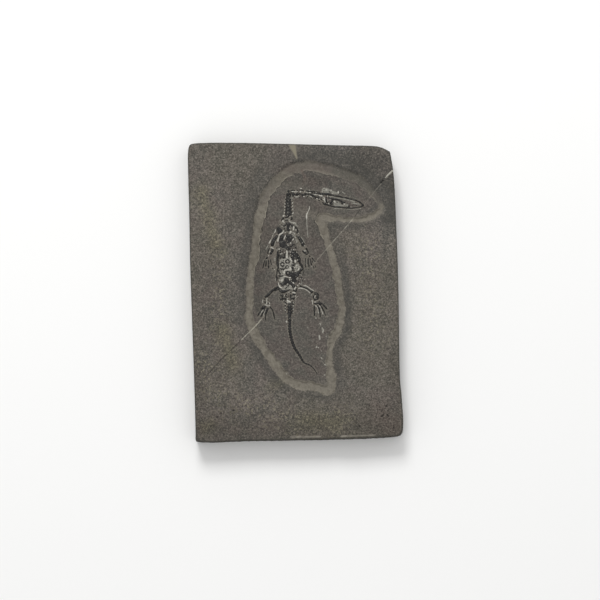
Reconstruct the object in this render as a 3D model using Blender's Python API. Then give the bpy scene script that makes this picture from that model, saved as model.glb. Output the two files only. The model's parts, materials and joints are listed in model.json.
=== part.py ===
"""Fossil marine reptile slab: a small long-necked reptile lying belly up in a limestone slab.

The slab lies on its underside with the fossil face up. +Y is the neck end, +X the side the head
points to, and the origin is the middle of the underside. Points are in millimetres from that
origin, turned to metres where a mesh is made. Left and right are as seen from above.
"""
import math
import random

import bmesh
import bpy
from mathutils import Vector
from mathutils.geometry import delaunay_2d_cdt

MM = 0.001

# Driving dimensions, in millimetres
SLAB_THICKNESS = 18.0
BED_DEPTH = 0.9
TROUGH_DEPTH = 1.9
LEDGE_WIDTH = 1.0
RIM_SLOPE = 4.0
FIELD_SWELL = 0.25
EDGE_ROUNDING = 1.6
EDGE_WEAR = 0.5
OUTLINE_STEP = 6.5
HALO_STEP = 5.0
FIELD_STEP = 11.0
GAP = 0.3
BED_HEIGHT = SLAB_THICKNESS - BED_DEPTH
BONE_BASE = BED_HEIGHT + GAP
VERTEBRA_PITCH = 2.5

# Outline of the slab from the top left corner, clockwise
SLAB_OUTLINE = [
    (-89.5, 113.7), (-88.7, 121.5), (-87.0, 123.7), (-78.8, 124.7), (-48.9, 124.9), (-9.0, 124.0),
    (30.8, 123.0), (62.7, 122.3), (71.1, 121.2), (75.4, 119.5), (78.8, 117.6), (79.8, 113.7),
    (82.4, 93.8), (84.2, 54.0), (85.8, 4.2), (86.7, -65.6), (88.2, -85.5), (89.5, -105.4),
    (89.1, -115.4), (87.2, -119.1), (80.6, -120.4), (60.7, -121.6), (20.8, -122.8),
    (-38.9, -123.8), (-68.8, -124.9), (-78.8, -123.9), (-81.3, -122.8), (-82.5, -120.4),
    (-82.5, -115.4), (-83.7, -75.5), (-85.2, -35.7), (-86.3, -5.8), (-87.4, 24.1), (-88.2, 63.9),
    (-89.1, 93.8),
]

# Middle line of the prepared trough round the skeleton and its half width there, from the
# upper left, down the left flank, round the tail and back along the head
TROUGH = [
    (-16.0, 89.5, 3.7), (-25.0, 77.0, 4.1), (-27.5, 64.5, 4.1), (-32.0, 48.0, 3.7),
    (-33.5, 35.5, 3.7), (-37.0, 15.0, 2.9), (-38.5, -18.5, 2.9), (-37.0, -28.0, 3.7),
    (-33.0, -36.5, 4.1), (-25.5, -47.5, 3.3), (-17.0, -60.0, 3.7), (-7.5, -71.5, 4.1),
    (4.0, -77.5, 3.7), (19.0, -78.5, 3.7), (28.5, -77.0, 5.0), (30.0, -68.0, 4.1),
    (28.5, -57.5, 2.9), (28.5, -47.5, 2.1), (31.5, -38.0, 3.3), (36.0, -30.5, 3.7),
    (38.5, -18.5, 2.5), (38.0, -6.0, 2.9), (34.5, 15.0, 2.9), (30.5, 31.5, 2.9),
    (27.0, 44.0, 2.9), (23.0, 56.5, 3.7), (21.5, 62.0, 3.3), (33.5, 61.5, 2.1),
    (45.5, 61.0, 1.8), (58.0, 62.0, 1.8), (68.0, 65.5, 2.1), (72.5, 71.5, 2.1),
    (71.0, 79.0, 2.5), (64.0, 87.0, 3.3), (54.0, 93.5, 3.7), (41.5, 98.5, 4.1),
    (27.5, 103.0, 4.1), (14.0, 105.5, 4.1), (2.5, 105.0, 4.1), (-7.5, 100.5, 4.1),
]

# A flake lost from the top edge along the near end
CHIP_CENTRE = (31.0, -122.4)
CHIP_HALF_LENGTH = 11.0
CHIP_DEPTH = 1.3
CHIP_REACH = 3.0

# The slab's side from the underside up: (part of the thickness, inset, most roughness there)
SIDE_LEVELS = ((0.0, 0.9, 0.0), (0.06, 0.2, 0.3), (0.35, 0.0, 0.0), (0.62, 0.35, 0.3), (0.9, 0.1, 0.3))


def clear_scene():
    for thing in list(bpy.data.objects):
        bpy.data.objects.remove(thing, do_unlink=True)


def surface_material(name, colour, roughness):
    material = bpy.data.materials.new(name)
    material.use_nodes = True
    shader = material.node_tree.nodes["Principled BSDF"]
    shader.inputs["Base Color"].default_value = (*colour, 1.0)
    shader.inputs["Roughness"].default_value = roughness
    shader.inputs["Metallic"].default_value = 0.0
    material.diffuse_color = (*colour, 1.0)
    return material


def curve_point(before, start, end, after, t):
    """A point of a Catmull-Rom curve, with as many numbers as its points have."""
    return tuple(
        0.5 * (2 * b + (c - a) * t + (2 * a - 5 * b + 4 * c - d) * t ** 2
               + (3 * b - a - 3 * c + d) * t ** 3)
        for a, b, c, d in zip(before, start, end, after)
    )


def smooth_curve(points, step, closed=False):
    """Points about one step apart on a smooth curve through the given ones."""
    count = len(points)
    curve = []
    for i in range(count if closed else count - 1):
        if closed:
            four = [points[(i + k) % count] for k in (-1, 0, 1, 2)]
        else:
            four = [points[min(max(i + k, 0), count - 1)] for k in (-1, 0, 1, 2)]
        length = math.dist(four[1][:2], four[2][:2])
        pieces = max(1, round(length / step))
        curve += [curve_point(*four, k / pieces) for k in range(pieces)]
    if not closed:
        curve.append(points[-1])
    return curve


def outward_normal(points, i):
    """The unit normal to the left of a closed curve's direction at point i."""
    ahead = points[(i + 1) % len(points)]
    behind = points[i - 1]
    run = Vector((ahead[0] - behind[0], ahead[1] - behind[1])).normalized()
    return Vector((-run.y, run.x))


def distance_to_curve(x, y, curve):
    """Distance to a closed curve, the half width there, and whether the point is inside."""
    best = (1e9, 0.0)
    inside = False
    for i, end in enumerate(curve):
        start = curve[i - 1]
        dx, dy = end[0] - start[0], end[1] - start[1]
        t = ((x - start[0]) * dx + (y - start[1]) * dy) / (dx * dx + dy * dy)
        t = min(max(t, 0.0), 1.0)
        gap = math.hypot(x - start[0] - t * dx, y - start[1] - t * dy)
        if gap < best[0]:
            best = (gap, start[2] + t * (end[2] - start[2]))
        if (start[1] > y) != (end[1] > y) and x < start[0] + (y - start[1]) * dx / dy:
            inside = not inside
    return best[0], best[1], inside


def ease(t):
    t = min(max(t, 0.0), 1.0)
    return t * t * (3 - 2 * t)


def field_height(x, y):
    """The slab's natural split face outside the trough: low swells."""
    swell = math.sin(x / 31 + 0.7) * math.cos(y / 27) + 0.6 * math.sin((x + y) / 17)
    return SLAB_THICKNESS + FIELD_SWELL * swell


def face_height(x, y, trough):
    """Height of the fossil face: flat bone bed, prepared trough, then the natural face."""
    gap, half, inside = distance_to_curve(x, y, trough)
    floor = SLAB_THICKNESS - TROUGH_DEPTH
    if inside:
        rise = ease((gap - half + LEDGE_WIDTH) / LEDGE_WIDTH)
        return floor + (BED_HEIGHT - floor) * rise
    rise = ease((gap - 0.4 * half) / RIM_SLOPE)
    return floor + (field_height(x, y) - floor) * rise


def slab_side_rings(outline, chance):
    """Rings of the slab's side, from the underside up, as (inset, height) at each point."""
    rings = [
        [(inset + chance.uniform(0.0, rough), level * SLAB_THICKNESS) for _ in outline]
        for level, inset, rough in SIDE_LEVELS
    ]
    shoulder = []
    for x, y in outline:
        along = abs(x - CHIP_CENTRE[0]) / CHIP_HALF_LENGTH
        chipped = CHIP_DEPTH * (1 - ease(along)) if y < CHIP_CENTRE[1] + CHIP_REACH else 0.0
        wear = chance.uniform(0.0, EDGE_WEAR)
        inset = 0.5 * (EDGE_ROUNDING + wear) + chipped
        shoulder.append((inset, SLAB_THICKNESS - EDGE_WEAR - wear - chipped))
    return [*rings, shoulder]


def face_points(border, trough, chance):
    """Points of the fossil face: its border, lines along the trough, and a loose grid."""
    points = list(border)
    for i, (x, y, half) in enumerate(trough):
        out = -outward_normal(trough, i)
        foot = 0.4 * half
        for reach in (-half - 0.4, -half, -half + LEDGE_WIDTH, foot, foot + RIM_SLOPE):
            points.append((x + out.x * reach, y + out.y * reach))
    edge = [(x, y, 0.0) for x, y in border]
    rows = math.ceil(SLAB_OUTLINE[4][1] / FIELD_STEP)
    columns = math.ceil(SLAB_OUTLINE[17][0] / FIELD_STEP)
    for row in range(-rows, rows):
        for column in range(-columns, columns + 1):
            x = (column + 0.5 * (row % 2)) * FIELD_STEP + chance.uniform(-1.5, 1.5)
            y = (row + 0.5) * FIELD_STEP + chance.uniform(-1.5, 1.5)
            to_edge, _, on_face = distance_to_curve(x, y, edge)
            to_trough, half, _ = distance_to_curve(x, y, trough)
            if on_face and to_edge > 0.5 * FIELD_STEP and to_trough > half + 1.2 * RIM_SLOPE:
                points.append((x, y))
    return points


def build_slab(material):
    chance = random.Random(7)
    outline = smooth_curve(SLAB_OUTLINE, OUTLINE_STEP, closed=True)
    normals = [outward_normal(outline, i) for i in range(len(outline))]
    trough = smooth_curve(TROUGH, HALO_STEP, closed=True)
    count = len(outline)

    def inset(i, amount):
        return outline[i][0] - normals[i].x * amount, outline[i][1] - normals[i].y * amount

    border = [inset(i, EDGE_ROUNDING + chance.uniform(0.4, 0.9)) for i in range(count)]
    face = [Vector(point) for point in face_points(border, trough, chance)]
    border_edges = [(i, (i + 1) % count) for i in range(count)]
    flat, _, triangles, _, _, _ = delaunay_2d_cdt(face, border_edges, [], 1, 1e-4)
    shape = bmesh.new()
    top = [shape.verts.new((p.x, p.y, face_height(p.x, p.y, trough))) for p in flat]
    for corners in triangles:
        shape.faces.new([top[i] for i in corners])

    # The sides: one ring of vertices at each height, joined by strips, down to the underside
    rings = [
        [shape.verts.new((*inset(i, amount), height)) for i, (amount, height) in enumerate(ring)]
        for ring in slab_side_rings(outline, chance)
    ]
    rings.append(top[:count])
    for low, high in zip(rings, rings[1:]):
        for i in range(count):
            j = (i + 1) % count
            shape.faces.new((low[i], low[j], high[j], high[i]))
    shape.faces.new(rings[0])
    return finish_mesh("matrix_slab", shape, material, 50)


def finish_mesh(name, shape, material, sharp_degrees):
    """Turns a bmesh in millimetres to an object in metres, with faces out and smooth shading."""
    bmesh.ops.scale(shape, vec=(MM, MM, MM), verts=shape.verts)
    bmesh.ops.triangulate(shape, faces=shape.faces)
    bmesh.ops.recalc_face_normals(shape, faces=shape.faces)
    mesh = bpy.data.meshes.new(name)
    shape.to_mesh(mesh)
    shape.free()
    mesh.materials.append(material)
    mesh.shade_smooth()
    mesh.set_sharp_from_angle(angle=math.radians(sharp_degrees))
    thing = bpy.data.objects.new(name, mesh)
    bpy.context.scene.collection.objects.link(thing)
    return thing


# Cross-section of a bone lying on its flat side: (part of the half width, part of the height)
BONE_SECTION = ((-1.0, 0.0), (-0.8, 0.62), (0.0, 1.0), (0.8, 0.62), (1.0, 0.0))
BONE_STEP = 2.6
TIP_WIDTH = 0.55


def bone(name, points, height, material, beads=0.0, lift=0.0):
    """A long bone, or a string of vertebrae, swept along (x, y, width) points.

    beads is how much the waist between two vertebrae narrows, as part of the width.
    """
    step = VERTEBRA_PITCH / 2 if beads else BONE_STEP
    path = smooth_curve(points, step)
    if not beads:
        path = [path[0], curve_point(path[0], path[0], path[1], path[1], 0.3), *path[1:-1],
                curve_point(path[-2], path[-2], path[-1], path[-1], 0.7), path[-1]]
    shape = bmesh.new()
    rings = []
    for i, (x, y, width) in enumerate(path):
        ahead = path[min(i + 1, len(path) - 1)]
        behind = path[max(i - 1, 0)]
        side = Vector((behind[1] - ahead[1], ahead[0] - behind[0])).normalized()
        swell = TIP_WIDTH if i in (0, len(path) - 1) else 1.0
        if beads and i % 2 == 0:
            swell *= 1.0 - beads
        half = 0.5 * width * swell
        tall = height * (0.6 + 0.4 * swell)
        rings.append([
            shape.verts.new((x + side.x * half * across, y + side.y * half * across,
                             BONE_BASE + lift + tall * up))
            for across, up in BONE_SECTION
        ])
    last = len(BONE_SECTION)
    for low, high in zip(rings, rings[1:]):
        for k in range(last):
            j = (k + 1) % last
            shape.faces.new((low[k], low[j], high[j], high[k]))
    shape.faces.new(rings[0])
    shape.faces.new(rings[-1])
    return finish_mesh(name, shape, material, 60)


def plate(name, outline, height, material, step=2.0, lift=0.0):
    """A flat bone with a rounded top edge, from its outline."""
    border = smooth_curve(outline, step, closed=True)
    middle = Vector((sum(p[0] for p in border), sum(p[1] for p in border))) / len(border)
    shape = bmesh.new()
    rings = []
    for shrink, up in ((1.0, 0.0), (0.96, 0.6), (0.7, 1.0)):
        rings.append([
            shape.verts.new((middle.x + (x - middle.x) * shrink,
                             middle.y + (y - middle.y) * shrink,
                             BONE_BASE + lift + height * up))
            for x, y in border
        ])
    count = len(border)
    for low, high in zip(rings, rings[1:]):
        for i in range(count):
            j = (i + 1) % count
            shape.faces.new((low[i], low[j], high[j], high[i]))
    shape.faces.new(rings[0])
    shape.faces.new(rings[-1])
    return finish_mesh(name, shape, material, 60)


def fuse(name, pieces):
    """Joins bones that have grown together, by exact Boolean unions, into the first one."""
    body = pieces[0]
    for other in pieces[1:]:
        join = body.modifiers.new("join", "BOOLEAN")
        join.operation = "UNION"
        join.solver = "EXACT"
        join.object = other
    graph = bpy.context.evaluated_depsgraph_get()
    mesh = bpy.data.meshes.new_from_object(body.evaluated_get(graph))
    body.modifiers.clear()
    body.data = mesh
    body.name = name
    mesh.name = name
    for other in pieces[1:]:
        bpy.data.objects.remove(other, do_unlink=True)
    return body


def rows_of(points, width):
    return [(x, y, width) for x, y in points]


def bone_cluster(name, lines, height, material, beads=0.0):
    """Several thin bones that lie joined: each line is (points, width).

    Each one starts a little higher than the last, so that no two undersides share a plane.
    """
    pieces = [
        bone(f"{name}_{i}", rows_of(points, width), height, material, beads, lift=0.03 * i)
        for i, (points, width) in enumerate(lines)
    ]
    return fuse(name, pieces)


def build_head_and_neck(material):
    jaw = [
        (22.6, 81.6, 1.5), (27.5, 81.3, 1.7), (33.3, 80.3, 1.2), (38.3, 79.4, 1.0),
        (42.4, 78.5, 1.0), (46.6, 77.4, 1.0), (50.7, 75.9, 1.0), (54.0, 74.0, 1.1),
        (55.9, 72.4, 1.5), (54.4, 71.0, 1.1), (49.9, 70.6, 1.0), (45.7, 70.1, 1.1),
        (41.6, 70.4, 1.1), (35.8, 70.9, 1.1), (31.6, 71.7, 1.2), (27.5, 73.0, 1.4),
        (22.5, 74.0, 1.2),
    ]
    bone("lower_jaw", jaw, 1.0, material)
    palate = [
        ([(23.6, 78.6), (27.5, 78.2), (32.5, 77.9), (35.8, 76.6), (39.9, 75.9), (43.3, 74.3)], 1.1),
        ([(24.6, 78.6), (25.2, 76.6), (26.8, 75.4), (28.8, 75.0)], 1.1),
        ([(29.8, 78.2), (30.2, 76.3), (31.6, 74.0)], 1.3),
        ([(36.0, 76.8), (37.2, 74.9), (38.6, 73.0)], 1.0),
    ]
    bone_cluster("palate_bones", palate, 0.7, material)
    neck = [
        (20.4, 79.4, 1.8), (16.0, 80.8, 2.2), (10.0, 81.9, 2.4), (3.0, 82.3, 2.6),
        (-2.6, 82.4, 3.0), (-5.8, 80.0, 3.4), (-6.3, 75.6, 3.6), (-5.9, 68.0, 4.2),
        (-6.5, 60.6, 3.6),
    ]
    bone("neck_vertebrae", neck, 1.3, material, beads=0.22)


def build_shoulders(material):
    collar = [
        ([(-11.6, 58.9), (-9.6, 56.6), (-6.8, 55.4), (-4.0, 56.0), (-2.0, 54.2)], 1.5),
        ([(-6.9, 55.6), (-6.6, 53.6), (-6.3, 51.0)], 3.0),
    ]
    bone_cluster("collar_bones", collar, 1.2, material)
    scapula = [(-15.8, 53.6), (-13.6, 53.4), (-12.0, 51.6), (-12.6, 49.8), (-13.8, 48.7),
               (-15.4, 50.6)]
    plate("left_scapula", scapula, 1.4, material, step=1.6)
    bone("right_scapula", [(-0.4, 53.9, 1.4), (1.2, 51.6, 1.6), (1.6, 49.0, 1.3)], 1.1, material)
    left = [(-12.6, 47.3), (-11.1, 48.4), (-9.2, 47.3), (-9.8, 43.4), (-8.0, 41.3), (-6.1, 38.8),
            (-4.6, 36.4), (-7.4, 36.0), (-11.5, 37.8), (-12.8, 40.7)]
    plate("left_coracoid", left, 1.2, material)
    right = [(-7.2, 49.2), (-4.1, 47.8), (-1.2, 45.7), (-2.8, 43.6), (-4.7, 40.4), (-7.0, 41.8),
             (-8.2, 45.4)]
    plate("right_coracoid", right, 1.2, material)


def build_arms(material):
    bone("left_humerus", [(-14.6, 47.7, 1.6), (-16.6, 45.6, 2.0), (-18.4, 42.6, 2.3),
                          (-19.7, 38.2, 1.9)], 1.3, material)
    bone("left_radius", [(-21.7, 35.9, 0.9), (-22.4, 33.3, 0.8), (-22.7, 31.0, 0.9)], 0.8, material)
    bone("left_ulna", [(-19.2, 35.6, 2.0), (-20.0, 33.4, 1.6), (-20.5, 31.2, 1.0)], 0.9, material)
    left_hand = [
        ([(-22.4, 29.6), (-24.6, 26.0), (-26.6, 20.4)], 0.9),
        ([(-22.4, 29.4), (-23.8, 25.2), (-24.8, 19.2)], 0.9),
        ([(-22.0, 29.4), (-22.3, 25.2), (-22.6, 19.6)], 0.9),
        ([(-21.8, 29.2), (-20.9, 26.6), (-20.4, 22.4)], 0.8),
    ]
    bone_cluster("left_hand", left_hand, 0.6, material)
    bone("right_humerus", [(0.3, 46.9, 1.7), (2.6, 44.6, 1.9), (5.1, 41.4, 2.0),
                           (7.0, 38.4, 2.2)], 1.3, material)
    bone("right_radius", [(9.3, 36.3, 0.9), (10.8, 34.2, 0.9), (11.3, 32.2, 0.9)], 0.8, material)
    bone("right_ulna", [(6.5, 34.6, 1.4), (8.2, 33.0, 1.4), (9.6, 31.4, 1.1)], 0.9, material)
    right_hand = [
        ([(12.2, 29.8), (10.4, 26.4), (8.9, 21.6)], 0.9),
        ([(12.3, 29.8), (11.9, 26.4), (11.4, 20.6)], 0.9),
        ([(12.5, 29.8), (13.6, 26.4), (15.4, 20.4)], 0.9),
        ([(12.8, 29.9), (15.0, 27.8), (17.0, 25.4)], 0.8),
    ]
    bone_cluster("right_hand", right_hand, 0.6, material)


def build_trunk(material):
    bone("left_ribs", [(-15.0, 35.6, 1.5), (-14.9, 27.0, 1.7), (-15.0, 20.0, 1.5),
                       (-15.3, 13.0, 0.9), (-15.7, 6.4, 0.7)], 1.1, material)
    bone("right_ribs", [(-1.4, 40.6, 1.6), (0.4, 35.6, 2.0), (2.2, 30.0, 2.2), (4.0, 25.0, 2.4),
                        (5.8, 21.4, 2.6), (4.6, 18.4, 2.6), (1.8, 14.8, 2.8), (-1.2, 10.8, 2.6),
                        (-1.6, 6.6, 2.0)], 1.3, material)
    belly_border = [(-12.6, 34.0), (-8.0, 34.9), (-4.2, 34.4), (-2.6, 32.4), (-1.0, 28.0),
                    (0.6, 24.0), (1.8, 20.6), (-0.4, 17.2), (-3.2, 13.2), (-4.4, 9.6),
                    (-6.0, 6.8), (-8.7, 5.2), (-11.4, 6.4), (-13.0, 9.6), (-13.0, 14.0),
                    (-13.0, 21.0), (-13.2, 28.0)]
    belly = plate("belly_ribs_0", belly_border, 0.9, material, step=3.0)
    # Belly ribs cross the plate as low V-shaped bars from the midline
    bars = []
    for i in range(9):
        y = 31.0 - 2.8 * i
        left_end = -7.0 - (4.2 if i in (0, 8) else 5.0)
        right_end = -7.0 + (5.0 if i < 5 else 5.0 - 0.9 * (i - 4))
        line = rows_of([(left_end, y - 2.2), (-7.0, y), (right_end, y - 2.2)], 1.0)
        bars.append(bone(f"belly_rib_bar_{i}", line, 1.0, material, lift=0.35))
    fuse("belly_ribs", [belly, *bars])
    arc = [(-13.3, 3.6), (-12.0, 1.2), (-9.9, 0.4), (-6.6, 0.9), (-3.2, 1.6), (0.0, 1.2), (1.4, 2.6)]
    bone("pelvis", rows_of(arc, 1.5), 1.1, material)


def build_legs(material):
    bone("left_femur", [(-14.9, 3.1, 1.3), (-17.4, 1.5, 1.5), (-20.3, -0.8, 1.8),
                        (-24.6, -4.3, 2.0)], 1.2, material)
    bone("left_tibia", [(-25.5, -6.1, 1.3), (-25.2, -9.3, 1.2)], 0.9, material)
    bone("left_fibula", [(-22.8, -6.1, 1.3), (-22.3, -10.2, 1.5)], 0.9, material)
    left_foot = [
        ([(-24.6, -11.0), (-27.4, -13.6), (-30.2, -18.6)], 1.3),
        ([(-24.4, -11.0), (-26.3, -14.6), (-27.8, -20.6)], 1.2),
        ([(-24.2, -11.0), (-24.3, -14.6), (-24.9, -18.4)], 1.1),
        ([(-23.8, -11.2), (-21.6, -13.4), (-19.4, -16.0), (-17.6, -22.0)], 0.8),
    ]
    bone_cluster("left_foot", left_foot, 0.7, material)
    bone("right_femur", [(3.3, 4.9, 1.2), (6.7, 4.1, 1.1), (10.9, 2.2, 1.2), (14.6, -0.2, 1.6)],
         1.1, material)
    bone("right_tibia", [(15.1, -2.4, 0.9), (15.4, -5.4, 0.9)], 0.8, material)
    bone("right_fibula", [(17.1, -1.9, 1.5), (17.9, -5.4, 1.7)], 0.9, material)
    right_foot = [
        ([(17.0, -7.6), (16.0, -10.4), (16.1, -15.0), (16.4, -19.9)], 1.0),
        ([(17.4, -7.4), (19.4, -10.8), (20.4, -14.4), (20.7, -20.6)], 1.0),
        ([(17.8, -7.2), (21.6, -10.0), (24.2, -14.6), (25.2, -20.8)], 0.9),
        ([(18.0, -7.0), (21.4, -8.6), (26.5, -13.6)], 1.0),
    ]
    bone_cluster("right_foot", right_foot, 0.7, material)


def build_tail(material):
    spine = [
        (-5.2, -1.2, 3.0), (-5.0, -10.0, 3.0), (-4.9, -18.3, 2.6), (-4.6, -26.6, 2.5),
        (-4.1, -33.2, 2.3), (-2.8, -39.0, 2.1), (-0.7, -45.2, 1.9), (1.6, -49.0, 1.8),
        (4.2, -53.1, 1.4), (6.3, -56.9, 1.2), (8.2, -59.0, 1.0), (10.9, -59.9, 0.9),
        (13.4, -61.4, 0.8), (15.7, -63.9, 0.7), (17.5, -66.4, 0.6),
    ]
    tail = bone("tail_0", spine, 1.3, material, beads=0.18)
    # Side processes stand out of the first vertebrae behind the pelvis, shorter to the rear
    processes = []
    for i in range(6):
        y = -2.6 - 2.7 * i
        reach = 5.4 - 0.55 * i
        line = rows_of([(-5.1 - reach, y - 0.3), (-5.1, y), (-5.1 + reach * 0.9, y - 0.3)], 0.9)
        processes.append(bone(f"tail_process_{i}", line, 0.8, material, lift=0.04))
    fuse("tail_vertebrae", [tail, *processes])


def main():
    clear_scene()
    limestone = surface_material("limestone", (0.115, 0.103, 0.088), 0.85)
    fossil_bone = surface_material("fossil_bone", (0.018, 0.017, 0.016), 0.45)
    build_slab(limestone)
    build_head_and_neck(fossil_bone)
    build_shoulders(fossil_bone)
    build_arms(fossil_bone)
    build_trunk(fossil_bone)
    build_legs(fossil_bone)
    build_tail(fossil_bone)


main()
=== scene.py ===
"""Looks of the fossil marine reptile slab: limestone, bones and calcite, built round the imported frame.

Points are in millimetres from the middle of the underside, as in the part's source: +Y is the neck
end, +X the side the head points to, left and right are as seen from above.
"""
import json
import math

import bpy
import numpy as np
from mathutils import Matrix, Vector
from mathutils.geometry import delaunay_2d_cdt

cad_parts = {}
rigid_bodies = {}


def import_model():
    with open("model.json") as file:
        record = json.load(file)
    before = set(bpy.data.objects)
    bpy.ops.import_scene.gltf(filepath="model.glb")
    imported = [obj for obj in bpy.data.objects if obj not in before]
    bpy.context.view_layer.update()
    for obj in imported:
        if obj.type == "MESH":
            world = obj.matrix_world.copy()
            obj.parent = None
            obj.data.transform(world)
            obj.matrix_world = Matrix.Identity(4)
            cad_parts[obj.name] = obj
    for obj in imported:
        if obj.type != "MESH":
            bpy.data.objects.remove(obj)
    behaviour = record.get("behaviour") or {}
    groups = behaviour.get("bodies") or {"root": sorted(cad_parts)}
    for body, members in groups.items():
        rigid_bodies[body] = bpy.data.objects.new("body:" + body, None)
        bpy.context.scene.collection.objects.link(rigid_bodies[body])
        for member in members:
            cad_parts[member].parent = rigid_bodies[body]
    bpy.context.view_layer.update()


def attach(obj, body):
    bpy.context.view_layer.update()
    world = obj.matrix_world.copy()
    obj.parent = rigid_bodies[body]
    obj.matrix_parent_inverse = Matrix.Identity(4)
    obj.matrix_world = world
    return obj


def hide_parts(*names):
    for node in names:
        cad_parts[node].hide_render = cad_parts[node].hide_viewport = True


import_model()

MM = 0.001


# The slab: one block of fine grey Triassic limestone, split along a bedding plane, with broken edges.
# A preparator has cut a trough round the skeleton and left the bones on a raised bed inside it.
# The stone is one closed mesh: a fine grid for the face, rough sides, and a plain underside.
SLAB_THICKNESS = 18.0
BED_DEPTH = 0.9
TROUGH_DEPTH = 1.9
LEDGE_WIDTH = 1.0
RIM_SLOPE = 4.0
FIELD_SWELL = 0.25
EDGE_ROUNDING = 1.6
CHIP_CENTRE_X = 31.0
CHIP_HALF_LENGTH = 11.0
CHIP_WIDTH = 2.6
CHIP_DEPTH = 1.3
CRACK_DEPTH = 0.3
CRACK_HALF_WIDTH = 0.9
PIT_DEPTH = 0.5
PIT_SPREAD = 0.8
BED_HEIGHT = SLAB_THICKNESS - BED_DEPTH
FLOOR_HEIGHT = SLAB_THICKNESS - TROUGH_DEPTH

# The four sides of the slab's outline, clockwise from the top left corner
TOP_SIDE = [(-87.0, 123.7), (-78.8, 124.7), (-48.9, 124.9), (-9.0, 124.0), (30.8, 123.0), (62.7, 122.3),
            (71.1, 121.2), (75.4, 119.5), (78.8, 117.6)]
RIGHT_SIDE = [(78.8, 117.6), (79.8, 113.7), (82.4, 93.8), (84.2, 54.0), (85.8, 4.2), (86.7, -65.6),
              (88.2, -85.5), (89.5, -105.4), (89.1, -115.4), (87.2, -119.1)]
BOTTOM_SIDE = [(87.2, -119.1), (80.6, -120.4), (60.7, -121.6), (20.8, -122.8), (-38.9, -123.8),
               (-68.8, -124.9), (-79.6, -124.5), (-82.0, -123.9)]
LEFT_SIDE = [(-82.0, -123.9), (-82.6, -121.4), (-82.5, -115.4), (-83.7, -75.5), (-85.2, -35.7),
             (-86.3, -5.8), (-87.4, 24.1), (-88.2, 63.9), (-89.1, 93.8), (-89.5, 113.7),
             (-88.7, 121.5), (-87.0, 123.7)]

# Middle line of the prepared trough and its half width, from the upper left round the skeleton
TROUGH = [
    (-18.6, 89.8, 3.7), (-26.8, 76.5, 3.9), (-29.4, 64.5, 3.6), (-32.2, 48.0, 3.3),
    (-33.5, 35.5, 3.7), (-37.0, 15.0, 2.9), (-38.5, -18.5, 2.9), (-37.0, -28.0, 3.7),
    (-33.0, -36.5, 4.1), (-25.5, -47.5, 3.3), (-17.0, -60.0, 3.7), (-7.5, -71.5, 4.1),
    (4.0, -77.5, 3.7), (17.0, -79.0, 3.7), (27.0, -81.5, 4.6), (30.5, -77.0, 4.4), (30.0, -68.0, 4.1),
    (28.5, -57.5, 2.9), (28.5, -47.5, 2.1), (31.5, -38.0, 3.3), (36.0, -30.5, 3.7),
    (38.5, -18.5, 2.5), (38.0, -6.0, 2.9), (34.5, 15.0, 2.9), (30.5, 31.5, 2.9),
    (27.0, 44.0, 2.9), (23.0, 56.5, 3.7), (21.5, 62.0, 3.3), (33.5, 61.5, 2.1),
    (45.5, 61.0, 1.8), (58.0, 62.0, 2.0), (66.0, 65.0, 2.3), (71.5, 71.0, 2.2),
    (67.0, 79.5, 2.3), (62.0, 86.0, 2.8), (54.0, 93.5, 3.7), (41.5, 98.5, 4.1),
    (27.5, 103.0, 4.1), (14.0, 105.5, 4.1), (2.5, 105.0, 4.1), (-7.5, 100.5, 4.1),
]

# An old crack healed with calcite, from the upper right corner under the body to the left edge
CRACK = [(86.0, 105.5), (81.4, 101.3), (78.1, 97.5), (74.8, 93.8), (72.3, 91.3), (67.3, 85.5), (56.5, 72.2),
         (49.9, 63.6), (38.3, 49.8), (31.6, 42.3), (17.8, 26.2), (4.0, 9.0), (-12.0, -8.0), (-26.5, -20.8),
         (-30.6, -25.7), (-41.4, -36.5), (-53.9, -49.0), (-66.3, -61.4), (-78.8, -76.4), (-86.0, -85.0)]

# Small pits in the face, most of them near the two lower corners. Each is painted near black; for the first
# two, under the pale ridge at the upper right, this is a painted shadow of the ridge
PITS = [(71.6, 91.6), (73.0, 93.0), (-50.9, -97.9), (-61.3, -100.4), (-64.7, -103.8), (75.6, -94.6),
        (76.4, -102.1), (53.2, -111.2)]

# Random waves of the stone, each with its height, its size and its seed
FACE_WAVES = ((0.10, 9.0, 1), (0.07, 4.2, 2), (0.09, 2.3, 3))
LEDGE_WAVES = ((0.9, 4.5, 11), (0.8, 1.9, 12))
BED_WAVES = ((0.12, 6.0, 13), (0.10, 2.2, 14), (0.05, 1.3, 15))
FLOOR_WAVES = ((0.10, 5.0, 16), (0.04, 1.8, 17))
RIM_WAVES = ((0.45, 8.0, 21), (0.25, 2.6, 22))

# Steps along lines, and between the lines of the grid: fine round the skeleton, coarser outside it
LINE_STEP = 3.0
FINE_STEP = 0.66
COARSE_STEP = 1.2
RIM_LINES = np.array([0.0, 0.3, 0.7, 1.2, 1.9])
WITHIN_OUTLINE = 0.9992


def curve_through(points, step, closed=False):
    """Points about one step apart on a smooth Catmull-Rom curve through the given ones."""
    points = np.array(points, float)
    count = len(points)
    curve = []
    for i in range(count if closed else count - 1):
        near = [(i + k) % count if closed else min(max(i + k, 0), count - 1) for k in (-1, 0, 1, 2)]
        a, b, c, d = points[near]
        pieces = max(1, round(math.dist(b[:2], c[:2]) / step))
        for t in np.arange(pieces) / pieces:
            curve.append(0.5 * (2 * b + (c - a) * t + (2 * a - 5 * b + 4 * c - d) * t ** 2
                                + (3 * b - a - 3 * c + d) * t ** 3))
    if not closed:
        curve.append(points[-1])
    return np.array(curve)


def ease(t):
    """A smooth step: 0 up to 0, 1 from 1 on."""
    t = np.clip(t, 0.0, 1.0)
    return t * t * (3 - 2 * t)


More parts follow.
